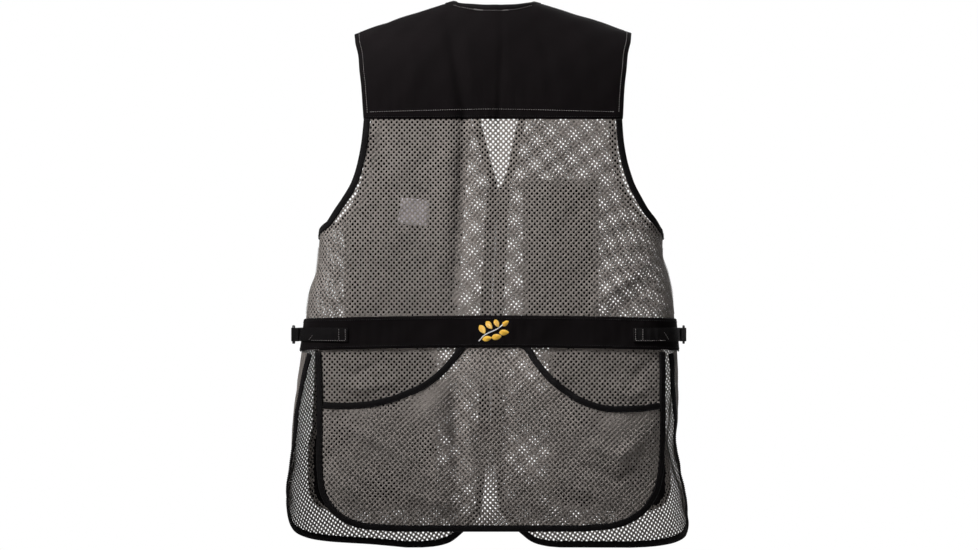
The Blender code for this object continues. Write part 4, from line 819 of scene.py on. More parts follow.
def finish(name, colour, patch, spread, textures=(), rise=(), joined="ADD", cloth=True, **settings):
    """A surface finish: a colour in soft patches, and textures raised by a height and a strength."""
    made = bpy.data.materials.new(name)
    made.use_nodes = True
    tree = made.node_tree
    tree.nodes.clear()
    inputs = {key.replace("_", " "): value for key, value in settings.items()}
    shader = add_node(tree, "ShaderNodeBsdfPrincipled", None, {"Base Color": (*colour, 1), **inputs})
    add_node(tree, "ShaderNodeOutputMaterial", None, {"Surface": shader.outputs["BSDF"]})
    if cloth:
        places = add_node(tree, "ShaderNodeUVMap", {"uv_map": "cloth"}).outputs["UV"]
    else:
        places = add_node(tree, "ShaderNodeTexCoord").outputs["Object"]
    patches = add_node(tree, "ShaderNodeTexNoise", None, {
        "Vector": places, "Scale": 1 / patch, "Detail": 3.0, "Roughness": 0.55})
    ramp = add_node(tree, "ShaderNodeValToRGB", None, {"Fac": patches.outputs["Fac"]})
    for stop, at, gain in zip(ramp.color_ramp.elements, (0.3, 0.7), (1 - spread, 1 + spread)):
        stop.position = at
        stop.color = (*[min(1, v * gain) for v in colour], 1)
    tree.links.new(ramp.outputs["Color"], shader.inputs["Base Color"])
    heights = [add_node(tree, kind, own, {"Vector": places, **given}).outputs["Fac"]
               for kind, own, given in textures]
    if len(heights) > 1:
        both = add_node(tree, "ShaderNodeMath", {"operation": joined}, {0: heights[0], 1: heights[1]})
        heights = [both.outputs["Value"]]
    if heights:
        bump = add_node(tree, "ShaderNodeBump", None, {
            "Height": heights[0], "Distance": rise[0], "Strength": rise[1]})
        tree.links.new(bump.outputs["Normal"], shader.inputs["Normal"])
    return made


def finishes():
    """The finishes by the names that the pieces use, made once."""
    colours = bpy.context.scene.vest_colours
    made = {}
    # Polyester-cotton twill, dyed black: dull, with a fine diagonal rib and a faint fuzz
    # sheen. The real rib is 0.5 mm; it is drawn at 0.9 mm so that it shows close by.
    made["twill"] = finish(
        "black_cotton_twill", colours.twill, 0.045, 0.16,
        [thread_rows(0.0009, "DIAGONAL", 0.6), grains(0.0012)], (0.00012, 0.7),
        Roughness=0.86, Sheen_Weight=0.02, Sheen_Roughness=0.45, Specular_IOR_Level=0.05)
    # Warp-knitted polyester net: soft grey yarn with a slight shine where it turns, and
    # loops 0.8 mm apart that run down the bars between the holes
    made["net"] = finish(
        "grey_polyester_net", colours.net, 0.0016, 0.12, [thread_rows(0.0008, "Y", 3.0, 0.0016)],
        (0.00022, 0.8), Roughness=0.66, Sheen_Weight=0.08, Sheen_Roughness=0.4,
        Specular_IOR_Level=0.3)
    # Woven polyester binding tape, folded over an edge: fine cross ribs and a low satin shine
    made["tape"] = finish(
        "black_binding_tape", colours.tape, 0.012, 0.15, [thread_rows(0.001, "X", 0.3)],
        (0.00015, 0.6), Roughness=0.66, Sheen_Weight=0.02, Specular_IOR_Level=0.06)
    # Woven polypropylene webbing: heavy ribs across it, 1.5 mm apart, crossed by finer ones
    made["webbing"] = finish(
        "black_polypropylene_webbing", colours.webbing, 0.006, 0.2,
        [thread_rows(0.0015, "X", 0.5), thread_rows(0.0012, "Y", 0.5)], (0.0003, 0.9), "MULTIPLY",
        Roughness=0.6, Specular_IOR_Level=0.07)
    # Spun polyester thread, grey for the topstitching that shows and black for the rest: a
    # twisted strand, duller than it is bright
    twist = [thread_rows(0.0006, "DIAGONAL")]
    made["thread"] = finish(
        "grey_spun_thread", colours.thread, 0.004, 0.14, twist, (0.0001, 0.7), cloth=False,
        Roughness=0.55, Sheen_Weight=0.15, Specular_IOR_Level=0.4)
    made["dark_thread"] = finish(
        "black_spun_thread", colours.dark_thread, 0.004, 0.14, twist, (0.0001, 0.7), cloth=False,
        Roughness=0.75, Sheen_Weight=0.02, Specular_IOR_Level=0.1)
    # Damask-woven polyester label: smooth and pale, with a fine close weave
    made["label"] = finish(
        "woven_label", colours.label, 0.008, 0.06, [thread_rows(0.0006, "X", 0.3)], (0.00008, 0.6),
        Roughness=0.55, Sheen_Weight=0.2)
    # Acetal, injection moulded and slightly textured in the mould, rubbed smoother in wear
    made["plastic"] = finish(
        "black_moulded_acetal", colours.plastic, 0.01, 0.12, [grains(0.0006)], (0.00003, 0.5),
        cloth=False, Roughness=0.38, IOR=1.48)
    # Zinc alloy, cast and blackened: dark and metallic, with the grey showing where it rubs
    made["metal"] = finish(
        "blackened_zinc", colours.metal, 0.004, 0.3, [grains(0.0008)], (0.00002, 0.5), cloth=False,
        Metallic=1.0, Roughness=0.34)
    # Rayon embroidery thread laid side by side in satin stitch: bright and silky, with
    # strands 0.5 mm apart drawn at 0.8 mm so that they show
    for name, colour in (("gold", colours.gold), ("pale", colours.pale)):
        made[name] = finish(
            name + "_rayon_thread", colour, 0.003, 0.18, [thread_rows(0.0008, "X", 0.6)],
            (0.0002, 0.9), Roughness=0.36, Specular_IOR_Level=0.6, Anisotropic=0.5, Sheen_Weight=0.2)
    # Painted board: pale, dull and almost even
    made["floor"] = finish(
        "pale_painted_board", colours.floor, 0.6, 0.01, cloth=False, Roughness=0.9,
        Specular_IOR_Level=0.1)
    return made


FINISHES = {}


def put(name, data):
    """An object in the scene's collection."""
    thing = bpy.data.objects.new(name, data)
    bpy.context.scene.collection.objects.link(thing)
    return thing


def values_of(items, field, kind=float, wide=1):
    """One field of all of a mesh's items."""
    found = np.zeros(len(items) * wide, kind)
    items.foreach_get(field, found)
    return found.reshape(-1, wide) if wide > 1 else found


def add_piece(name, points, faces, cover, uvs=None, node=None, body="vest"):
    """A mesh that rides on a body and stands for a node of the model."""
    mesh = bpy.data.meshes.new(name)
    mesh.from_pydata(np.asarray(points).tolist(), [], faces)
    mesh.validate()
    mesh.shade_smooth()
    mesh.materials.append(FINISHES[cover])
    if uvs is not None:
        layer = mesh.uv_layers.new(name="cloth")
        corners = values_of(mesh.loops, "vertex_index", int)
        layer.data.foreach_set("uv", np.asarray(uvs, float)[corners].astype(np.float32).ravel())
    piece = put(name, mesh)
    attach(piece, body)
    if node:
        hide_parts(node)
    return piece


def turned_out(points, faces):
    """The faces, all turned round if the closed body that they make faces in."""
    volume = 0.0
    for face in faces:
        a = points[face[0]]
        for k in range(1, len(face) - 1):
            volume += float(np.dot(a, np.cross(points[face[k]], points[face[k + 1]])))
    return [tuple(reversed(face)) for face in faces] if volume < 0 else faces


def grid_faces(rows, columns, first=0, flip=False):
    faces = []
    for r in range(rows - 1):
        for c in range(columns - 1):
            a = first + r * columns + c
            face = (a, a + 1, a + columns + 1, a + columns)
            faces.append(face[::-1] if flip else face)
    return faces


def cloth_piece(name, girth, level, near, far, cover="twill", node=None, own=None):
    """A piece of cloth over a grid of places, with rounded edges."""
    girth, level = np.broadcast_arrays(girth, level)
    near, far = np.broadcast_to(near, girth.shape), np.broadcast_to(far, girth.shape)
    rows, columns = girth.shape
    inner, outer = placed(girth, level, near), placed(girth, level, far)
    rim = [(0, c) for c in range(columns)] + [(r, columns - 1) for r in range(1, rows)]
    rim += [(rows - 1, c) for c in range(columns - 2, -1, -1)] + [(r, 0) for r in range(rows - 2, 0, -1)]
    middle = (inner + outer) / 2
    bulge = []
    for r, c in rim:
        within = middle[min(max(r, 1), rows - 2), min(max(c, 1), columns - 2)]
        way = middle[r, c] - within
        thick = np.linalg.norm(outer[r, c] - inner[r, c])
        bulge.append(middle[r, c] + way / max(np.linalg.norm(way), 1e-9) * thick * 0.45)
    points = np.concatenate([outer.reshape(-1, 3), inner.reshape(-1, 3), np.array(bulge)])
    count = rows * columns
    faces = grid_faces(rows, columns) + grid_faces(rows, columns, count, True)
    loop = [r * columns + c for r, c in rim]
    for k, here in enumerate(loop):
        following = (k + 1) % len(loop)
        mid, mid_next = 2 * count + k, 2 * count + following
        faces.append((here, mid, mid_next, loop[following]))
        faces.append((mid, count + here, count + loop[following], mid_next))
    uv = (np.stack([girth, level], axis=-1) if own is None else own).reshape(-1, 2)
    uvs = np.concatenate([uv, uv, uv[loop]])
    return add_piece(name, points, turned_out(points, faces), cover, uvs, node)


def tape_piece(node, inner, outer, near, far, lift=0.0):
    """A tape folded over an edge, between two lines of places."""
    rows = []
    for share, height in TAPE_SECTION:
        place = inner * (1 - share) + outer * share
        rows.append(placed(place[:, 0], place[:, 1], near + (far - near) * height + lift))
    return tube_piece(node + "_tape", np.stack(rows, axis=1), "tape", node)


def ring_body(rings, closed=False):
    """Points and faces of a body through rings of points; a closed one joins its own end."""
    stations, around = rings.shape[:2]
    faces = []
    for s in range(stations if closed else stations - 1):
        ahead = (s + 1) % stations * around
        for k in range(around):
            following = (k + 1) % around
            faces.append((s * around + k, s * around + following, ahead + following, ahead + k))
    if not closed:
        faces.append(tuple(range(around))[::-1])
        faces.append(tuple(range((stations - 1) * around, stations * around)))
    points = rings.reshape(-1, 3)
    return points, turned_out(points, faces)


def tube_piece(name, rings, cover, node):
    """A closed strip from rings of points, with its length and way round as cloth places."""
    run, turn = distances(rings.mean(axis=1)), distances(rings[0])
    uvs = np.stack(np.broadcast_arrays(run[:, None], turn), axis=-1).reshape(-1, 2)
    return add_piece(name, *ring_body(rings), cover, uvs, node)


def stitching(name, rows, cover, width=None, length=None, pitch=None):
    """Single stitches along rows of points, each row with the ways out from the cloth."""
    sizes = vest_sizes()
    pitch = pitch or sizes.stitch_pitch
    length = length or sizes.stitch_length
    width = width or sizes.stitch_width
    stitches = []
    for line, out in rows:
        run = distances(line)
        starts = np.arange(0, max(run[-1] - length, 1e-6), pitch)
        points = []
        for share in STITCH_RINGS:
            at = starts + share * length
            spot, way = points_at(at, run, line), points_at(at, run, out)
            if share in (0, 1):
                points.append(spot)
                continue
            along = points_at(at + 1e-4, run, line) - spot + np.array([1e-9, 0, 0])
            aside = unit(np.cross(way, along))
            points += [spot + aside * width / 2, spot + way * width * STITCH_ABOVE,
                       spot - aside * width / 2, spot - way * width * STITCH_BELOW]
        stitches.append(np.stack(points, axis=1))
    stitches = np.concatenate(stitches)
    cage = [(0, 2, 1), (0, 3, 2), (0, 4, 3), (0, 1, 4), (9, 5, 6), (9, 6, 7), (9, 7, 8), (9, 8, 5),
            (1, 2, 6, 5), (2, 3, 7, 6), (3, 4, 8, 7), (4, 1, 5, 8)]
    cage = turned_out(stitches[0], cage)
    faces = [tuple(k * 10 + i for i in face) for k in range(len(stitches)) for face in cage]
    return add_piece(name, stitches.reshape(-1, 3), faces, cover)


def on_cloth(line, away, step=0.0008):
    """Points and ways out along a line of places, this far away from the shell."""
    line = spaced(np.asarray(line, float), step)
    return placed(line[:, 0], line[:, 1], away), outward(line[:, 0], line[:, 1])


def inside(places, ring):
    """Whether each place is inside the closed ring of places."""
    x, y = places.T
    found = np.zeros(len(places), bool)
    for (x1, y1), (x2, y2) in zip(ring, np.roll(ring, -1, axis=0)):
        if y1 == y2:
            continue
        crosses = (y1 > y) != (y2 > y)
        found ^= crosses & (x < (x2 - x1) * (y - y1) / (y2 - y1) + x1)
    return found


def moved_to(places, ring):
    """The nearest place of the closed ring to each place."""
    best = np.full(len(places), np.inf)
    found = places.copy()
    for start, end in zip(ring, np.roll(ring, -1, axis=0)):
        run = end - start
        length = float(run @ run)
        if length < 1e-14:
            continue
        share = np.clip((places - start) @ run / length, 0, 1)
        spot = start + share[:, None] * run
        gap = ((places - spot) ** 2).sum(axis=1)
        nearer = gap < best
        best[nearer] = gap[nearer]
        found[nearer] = spot[nearer]
    return found


def surface_normals(mesh, count):
    """Normals at the points of a mesh, from its first faces alone."""
    sums = np.zeros((len(mesh.vertices), 3))
    weighed = values_of(mesh.polygons, "normal", wide=3) * values_of(mesh.polygons, "area")[:, None]
    owner = np.repeat(np.arange(len(weighed)), values_of(mesh.polygons, "loop_total", int))
    corners = values_of(mesh.loops, "vertex_index", int)
    early = owner < count
    np.add.at(sums, corners[early], weighed[owner[early]])
    return unit(sums)


def net_lattice(ring, grain, pitch, open_up):
    """A net's staggered holes round a ring: their centres, and for each its corners and a knot."""
    sizes = vest_sizes()
    random = np.random.default_rng(sizes.seed)
    step_u, step_v = sizes.net_across * pitch, sizes.net_down * pitch / 2
    turn = np.array([[math.cos(grain), math.sin(grain)], [-math.sin(grain), math.cos(grain)]])
    lattice = ring @ turn.T
    low, high = lattice.min(axis=0) - 2 * step_u, lattice.max(axis=0) + 2 * step_u
    columns = int((high[0] - low[0]) / step_u) + 1
    rows = int((high[1] - low[1]) / step_v) + 1
    j, i = np.mgrid[0:rows, 0:columns]
    u = (np.floor(low[0] / step_u) + i + 0.5 * (j % 2)) * step_u
    v = (np.floor(low[1] / step_v) + j) * step_v
    u = u + random.normal(0, HOLE_ASTRAY, u.shape)
    v = v + random.normal(0, HOLE_ASTRAY, v.shape)
    size = 1 + random.normal(0, HOLE_VARIES, u.shape)
    angle = np.radians(22.5 + 45 * np.arange(8))
    hole = np.stack([np.cos(angle) * sizes.hole_width / 2, np.sin(angle) * sizes.hole_height / 2], axis=1)
    hole *= open_up / math.cos(math.radians(22.5))
    centres = np.stack([u, v], axis=-1) @ turn
    corners = centres[:, :, None, :] + (hole @ turn) * size[:, :, None, None]
    knots = centres[:, :, None, :] + np.array([step_u / 2, 0]) @ turn
    places = np.concatenate([corners, knots], axis=2).reshape(-1, 2)
    return centres.reshape(-1, 2), places, rows, columns


def net_faces(rows, columns):
    """The net between the holes, by the numbers of its places: slim bars, and knots."""
    def corner(row, col, k):
        return (row * columns + col) * 9 + k
    j, i = np.mgrid[1 : rows - 1, 0 : columns - 1]
    j, i = j.ravel(), i.ravel()
    across = i + (j % 2)
    keep = across < columns
    j, i, across = j[keep], i[keep], across[keep]
    below, above, right = (j + 1, across), (j - 1, across), (j, i + 1)
    bars = ((corner(j, i, 0), corner(*below, 5), corner(*below, 4), corner(j, i, 1)),
            (corner(j, i, 7), corner(j, i, 6), corner(*above, 3), corner(*above, 2)))
    knot = (corner(j, i, 7), corner(*above, 2), corner(*above, 1), corner(*right, 4),
            corner(*right, 3), corner(*below, 6), corner(*below, 5), corner(j, i, 0))
    knots = [(corner(j, i, 8), one, two) for one, two in zip(knot, knot[1:] + knot[:1])]
    return [np.concatenate([np.stack(face, axis=1) for face in group]) for group in (bars, knots)]


def kept_faces(faces, places, is_in, under):
    """The faces that reach inside the ring, aren't all covered and aren't squashed flat."""
    faces = faces[is_in[faces].any(axis=1) & ~under[faces].all(axis=1)]
    flat = places[faces]
    area = np.zeros(len(faces))
    for k in range(1, faces.shape[1] - 1):
        one, two = flat[:, k] - flat[:, 0], flat[:, k + 1] - flat[:, 0]
        area += one[:, 0] * two[:, 1] - one[:, 1] * two[:, 0]
    return faces[np.abs(area) > 1e-8]


def net_piece(name, ring, to_girth, away, node, grain=0.0, pitch=1.0, open_up=1.0, covered=None,
              wall=HOLE_WALL, walls_end=HEM_LEVEL):
    """A net with staggered holes, cut to a closed ring of places and away where it is covered."""
    centres, places, rows, columns = net_lattice(ring, grain, pitch, open_up)
    is_in = inside(places, ring)
    places[~is_in] = moved_to(places[~is_in], ring)
    under = np.zeros(len(places), bool) if covered is None else covered(to_girth(*places.T), places[:, 1])
    kept = [kept_faces(group, places, is_in, under) for group in net_faces(rows, columns)]
    used = np.unique(np.concatenate([group.ravel() for group in kept]))
    number = np.zeros(len(places), int)
    number[used] = np.arange(len(used))
    is_knot = (used % 9) == 8
    girth, level = to_girth(*places[used].T), places[used, 1]
    points = placed(girth, level, away(girth, level) + np.where(is_knot, KNOT_HEIGHT, 0))
    faces = [tuple(row) for group in kept for row in number[group].tolist()]
    flat_count, count = len(faces), len(points)
    out = outward(girth, level)
    toward = centres[used // 9]
    hole_side = unit(shell(to_girth(*toward.T), toward[:, 1]) - shell(girth, level), 1e-9)
    is_used = np.zeros(len(places), bool)
    is_used[used] = True
    whole = (is_used & is_in).reshape(-1, 9)[:, :8].all(axis=1) & (centres[:, 1] < walls_end)
    rims = number[np.flatnonzero(whole)[:, None] * 9 + np.arange(8)]
    walls = count + np.arange(rims.size).reshape(rims.shape)
    around = np.stack([rims, walls, np.roll(walls, -1, axis=1), np.roll(rims, -1, axis=1)], axis=-1)
    faces += [tuple(row) for row in around.reshape(-1, 4).tolist()]
    rim = rims.ravel()
    points = np.concatenate([points, points[rim] - out[rim] * wall])
    uvs = np.concatenate([line_of(girth, level), line_of(girth[rim], level[rim])])
    piece = add_piece(name, points, faces, "net", uvs, node)
    normals = surface_normals(piece.data, flat_count)[:count]
    if (normals * out).sum() < 0:
        piece.data.flip_normals()
        normals = -normals
    normals = normals + np.where(is_knot, 0, RIM_ROUND)[:, None] * hole_side
    normals = unit(np.concatenate([normals, hole_side[rim] - WALL_TILT * out[rim]]))
    piece.data.normals_split_custom_set_from_vertices(normals.tolist())
    return piece


def surface_of(piece):
    """The area of all of a piece's faces."""
    mesh = piece.data
    mesh.calc_loop_triangles()
    corners = values_of(mesh.loop_triangles, "vertices", int, 3)
    a, b, c = (values_of(mesh.vertices, "co", wide=3)[corners[:, k]] for k in range(3))
    return float(np.linalg.norm(np.cross(b - a, c - a), axis=1).sum() / 2)


def flat_size(piece, size, sides=0):
    """Works out what a piece of cloth fills of its cut: all of its rectangle, or the share that its counted
    sides fill. The result is not kept.
    """
    width, length = size
    share = surface_of(piece) / sides / (width * length) if sides else 1.0


def same_girth(girth, level):
    return girth


def net_middle(girth, level):
    return np.full(girth.shape, NET_MIDDLE)


def front_girth(side):
    def girth(distance, level):
        return side * (sum(quarter_lengths(side, level)) - distance)
    return girth


def from_front(side, line):
    """Places as distances from the centre front, so that the net's rows follow the zip."""
    return line_of(sum(quarter_lengths(side, line[:, 1])) - side * line[:, 0], line[:, 1])


def side_seam_line(side):
    levels = np.linspace(ARM_END, SIDE_END, 30)
    return line_of(side_seam(side, levels, 0), levels)


def tail_bottom_line(start, end, lap):
    """The tail's lower edge between two girths, this far under its binding."""
    girth = np.linspace(start, end, 40)
    return line_of(girth, np.full(40, TAIL[-1].level + lap))


def make_back_net():
    lap = vest_sizes().tape_width * NET_LAP
    ring = []
    for side in (-1, 1):
        arm = beside(spaced(arm_line(side, "back"), LINE_STEP), side * lap)
        tail = beside(spaced(tail_line(side, 0.46), LINE_STEP), side * lap)
        top = np.array([[arm[0, 0], YOKE_LEVEL - UNDER_YOKE]])
        line = np.concatenate([top, arm, side_seam_line(side), tail])
        ring.append(line if side < 0 else line[::-1])
    bottom = tail_bottom_line(ring[0][-1, 0], ring[1][0, 0], lap)
    ring = np.concatenate([ring[0], bottom, ring[1]])
    return net_piece("back_net", ring, same_girth, net_middle, "back_mesh", walls_end=BACK_WALLS_END)


def make_front_net(side):
    lap = vest_sizes().tape_width * NET_LAP
    arm = beside(spaced(arm_line(side, "front"), LINE_STEP), -side * lap)
    vent = beside(spaced(vent_line(side), LINE_STEP), -side * lap)
    high = FRONT_YOKE_LEVEL - UNDER_YOKE
    opening = beside(spaced(opening_line(side, high, HEM_LEVEL), LINE_STEP), side * lap)
    top = np.array([[arm[0, 0], high]])
    low = np.linspace(vent[-1], opening[-1], 30)[1:-1]
    low[:, 1] += lap
    ring = from_front(side, np.concatenate([top, arm, side_seam_line(side), vent, low, opening[::-1]]))
    name = side_name(side)
    return net_piece("front_net_" + name, ring, front_girth(side), net_middle, "front_mesh_" + name,
                     FRONT_GRAIN[name], FRONT_PITCH, FRONT_HOLES, under_patches(side))


def make_pouch_net():
    lap = vest_sizes().tape_width * NET_LAP
    top = spaced(pouch_top_line(), LINE_STEP)
    left = beside(spaced(tail_line(-1, top[0, 1]), LINE_STEP), -lap)
    right = beside(spaced(tail_line(1, top[-1, 1]), LINE_STEP), lap)
    mouth = beside(top, lap)
    mouth[:, 1] = np.maximum(mouth[:, 1], POUCH_TOP[0].left - 0.004)
    bottom = tail_bottom_line(left[-1, 0], right[-1, 0], lap)
    ring = np.concatenate([left, bottom, right[::-1], mouth[::-1]])
    return net_piece("pouch_net", ring, same_girth, lambda g, l: pouch_swell(g, l) + NET_MIDDLE,
                     "back_pouch", POUCH_GRAIN, wall=POUCH_HOLE_WALL)


def yoke_places(step):
    """Places over the back yoke, row by row from the neck and shoulders to its lower seam."""
    reach = NECK_TAPE_WIDTH - NECK_LAP
    neck = NECK_HALF + reach
    share = np.linspace(-1, 1, int(2 * YOKE_EDGE[0].back / step) | 1)
    tops = share * YOKE_EDGE[0].back
    start = neck_level(np.clip(np.abs(tops) / neck, 0, 1), neck, NECK_DIP + reach)
    start = np.maximum(start, SHOULDER_GAP)
    rows = np.linspace(0, 1, int(YOKE_LEVEL / step))[:, None]
    level = start + (YOKE_LEVEL - SEAM / 2 - start) * rows
    across = share * read(YOKE_EDGE, "back", level)
    girth = np.zeros_like(level)
    for side in (-1, 1):
        mine = side * across >= 0
        girth[mine] = girth_back(side, np.abs(across[mine]), level[mine])
    return girth, level


def front_places(side, levels, rear, front, columns=0):
    """Places over cloth on a front, between two distances from the centre line."""
    edge, ahead = girth_front(side, rear, levels), girth_front(side, front, levels)
    step = vest_sizes().cloth_step
    share = np.linspace(0, 1, columns or int(np.abs(ahead - edge).max() / step))
    girth = edge[:, None] * (1 - share) + ahead[:, None] * share
    return girth, np.broadcast_to(levels[:, None], girth.shape)


def front_yoke_places(side, step):
    levels = np.linspace(SHOULDER_GAP, FRONT_YOKE_LEVEL - SEAM / 2, int(FRONT_YOKE_LEVEL / step))
    across = read(OPENING, "half", levels) + side * read(OPENING, "middle", levels)
    return front_places(side, levels, read(YOKE_EDGE, "front", levels), across, int(FRONT_YOKE_LEVEL / step))


def front_room(side, levels):
    """The furthest a patch may reach on a front, by distance from the centre line."""
    arm = np.interp(levels, column(ARM_EDGE, "level"), column(ARM_EDGE, "front_" + side_name(side)))
    early = read(YOKE_EDGE, "front", levels) - vest_sizes().tape_width
    edge = np.where(levels < YOKE_LEVEL, early, arm)
    return np.where(levels > ARM_EDGE[-1].level, 1.0, edge - PATCH_EDGE)


def patch_cuts():
    """The twill on the fronts: name, side, levels, rear and front edges, and stand-off."""
    levels = np.linspace(FRONT_YOKE_LEVEL + 0.0005, CHEST_BOTTOM, 96)
    edge = read(OPENING, "half", levels) - read(OPENING, "middle", levels) + PATCH_EDGE
    front = np.maximum(read(CHEST_LEFT_FRONT, "across", levels), edge)
    rear = np.minimum(CHEST_LEFT_REAR, front_room(-1, levels))
    cuts = [("chest_patch_left", -1, levels, rear, front, PATCH_NEAR)]
    levels = np.linspace(CHEST_RIGHT_TOP, CHEST_BOTTOM, 62)
    rear, front = np.full(62, CHEST_RIGHT_REAR), np.full(62, CHEST_RIGHT_FRONT)
    cuts.append(("chest_patch_right", 1, levels, rear, front, PATCH_NEAR))
    levels = np.linspace(POCKET_TOP, POCKET_BOTTOM, 72)
    corner = np.clip((levels - (POCKET_BOTTOM - POCKET_CORNER)) / POCKET_CORNER, 0, 0.98)
    turn = POCKET_CORNER * (1 - np.sqrt(1 - corner**2))
    for side in (-1, 1):
        rear = read(POCKET_REAR, side_name(side), levels) - turn
        cuts.append(("front_pocket_" + side_name(side), side, levels, rear, POCKET_FRONT + turn, POCKET_NEAR))
    return cuts


def under_patches(side):
    """Tells which places of a front are well under its twill."""
    bounds = []
    for _, on, levels, rear, front, _ in patch_cuts():
        if on == side:
            edges = [np.abs(girth_front(side, across, levels)) for across in (rear, front)]
            bounds.append((levels, *edges))

    def covered(girth, level):
        found = np.zeros(girth.shape, bool)
        for levels, rear, front in bounds:
            past_rear = np.abs(girth) > np.interp(level, levels, rear) + PATCH_HEM
            before_front = np.abs(girth) < np.interp(level, levels, front) - PATCH_HEM
            between = (level > levels[0] + PATCH_HEM) & (level < levels[-1] - PATCH_HEM)
            found |= past_rear & before_front & between
        return found
    return covered


def rim_rows(girth, level, within, sides, away):
    """Rows this far inside chosen edges of a grid of places, for stitches on its cloth."""
    rows = []
    for edge in sides:
        if edge in ("top", "bottom"):
            row = 0 if edge == "top" else -1
            line = line_of(girth[row], level[row]) + np.array([0, within if edge == "top" else -within])
            inner = np.abs(line[:, 0] - line[:1, 0]) > within
            inner &= np.abs(line[:, 0] - line[-1:, 0]) > within
        else:
            col, other = (0, 1) if edge == "first" else (-1, -2)
            line = line_of(girth[:, col], level[:, col])
            line[:, 0] += np.sign(girth[0, other] - girth[0, col]) * within
            inner = (line[:, 1] > line[:, 1].min() + within) & (line[:, 1] < line[:, 1].max() - within)
        rows.append(on_cloth(line[inner], away))
    return rows


def smoothed(line, times):
    """The line with its bends rounded a little, its ends held."""
    line = np.array(line, float)
    for _ in range(times):
        line[1:-1] = (line[:-2] + 2 * line[1:-1] + line[2:]) / 4
    return line


def rounded_section(width, height, corner, steps=3):
    """A ring of places round a rectangle with round corners."""
    ring = []
    for k, (x, y) in enumerate(((1, 1), (-1, 1), (-1, -1), (1, -1))):
        middle = np.array([x * (width / 2 - corner), y * (height / 2 - corner)])
        for turn in np.radians(np.linspace(90 * k, 90 * k + 90, steps + 1)):
            ring.append(middle + corner * np.array([math.cos(turn), math.sin(turn)]))
    return np.array(ring)


def swept_rings(path, wide, section):
    """Rings of a section carried along a path, its width along the given way."""
    path = np.asarray(path, float)
    wide = np.broadcast_to(wide, path.shape)
    along = unit(np.gradient(path, axis=0))
    high = unit(np.cross(along, wide))
    wide = np.cross(high, along)
    return path[:, None] + wide[:, None] * section[None, :, :1] + high[:, None] * section[None, :, 1:]


def loop_body(path, wide, section):
    """Points and faces of a closed loop with this section."""
    around = np.concatenate([path[-2:], path, path[:2]])
    return ring_body(swept_rings(around, wide, section)[2:-2], True)


def plate_body(outline, low, high, edge, frame_of):
    """Points and faces of a flat plate with rounded rims, from its outline."""
    middle, right, up, out = frame_of
    along = unit(np.roll(outline, -1, axis=0) - np.roll(outline, 1, axis=0))
    inwards = np.stack([-along[:, 1], along[:, 0]], axis=1)
    if ((outline.mean(axis=0) - outline) * inwards).sum() < 0:
        inwards = -inwards
    rings = []
    for inset, depth in ((edge, low), (edge * 0.3, low + edge * 0.3), (0, low + edge), (0, high - edge),
                         (edge * 0.3, high - edge * 0.3), (edge, high)):
        flat = outline + inwards * inset
        rings.append(middle + flat[:, :1] * right + flat[:, 1:] * up + depth * out)
    return ring_body(np.array(rings))


def bodies_piece(name, bodies, cover, node, body="vest"):
    """One piece of several closed bodies that belong together."""
    points, faces, count = [], [], 0
    for some, its_faces in bodies:
        points.append(some)
        faces += [tuple(count + i for i in face) for face in its_faces]
        count += len(some)
    piece = add_piece(name, np.concatenate(points), faces, cover, None, node, body)
    piece.data.set_sharp_from_angle(angle=HARD_EDGE)
    return piece


def buckle_frame(side):
    """Where the buckle sits beside the side seam: its middle, forward and outward ways."""
    seam, _ = quarter_lengths(side, STRAP_LEVEL)
    girth = side * (seam + BUCKLE_PAST)
    middle, out = shell(girth, STRAP_LEVEL), outward(girth, STRAP_LEVEL)
    angle = math.atan2(out[1], out[0]) - side * math.radians(BUCKLE_TURN[side_name(side)])
    out = np.array([math.cos(angle), math.sin(angle), 0.0])
    forward = np.array([-out[1], out[0], 0.0]) * side
    return middle + out * BUCKLE_OFF[side_name(side)], forward, out


def on_shell(girths, away):
    """Upper and lower edges of webbing that lies along the cloth."""
    half = WEBBING_WIDTH / 2
    return placed(girths, STRAP_LEVEL - half, away), placed(girths, STRAP_LEVEL + half, away)


def arc(middle_f, middle_o, radius, start, end, count):
    """Places of a turn about a bar, in degrees from forward towards out."""
    angles = np.radians(np.linspace(start, end, count))
    return [(middle_f + radius * math.cos(a), middle_o + radius * math.sin(a)) for a in angles]


def strap_run(side, edges, path):
    """The middle of a strap and its way across: over the cloth first, then through the buckle."""
    middle, forward, out = buckle_frame(side)
    points = middle + np.array([f * forward + o * out for f, o in path])
    half = np.array([0, 0, WEBBING_WIDTH / 2])
    upper = np.concatenate([edges[0], points + half])
    lower = np.concatenate([edges[1], points - half])
    run = distances((upper + lower) / 2)
    even = np.linspace(0, run[-1], int(run[-1] / STRAP_STEP))
    upper, lower = points_at(even, run, upper), points_at(even, run, lower)
    return smoothed((upper + lower) / 2, 3), unit(smoothed(lower - upper, 8))


def leaving(side, edges):
    """Where a strap leaves the cloth, as distances forward and out from the buckle's middle."""
    middle, forward, out = buckle_frame(side)
    last = (edges[0][-1] + edges[1][-1]) / 2 - middle
    return float(last @ forward), float(last @ out)


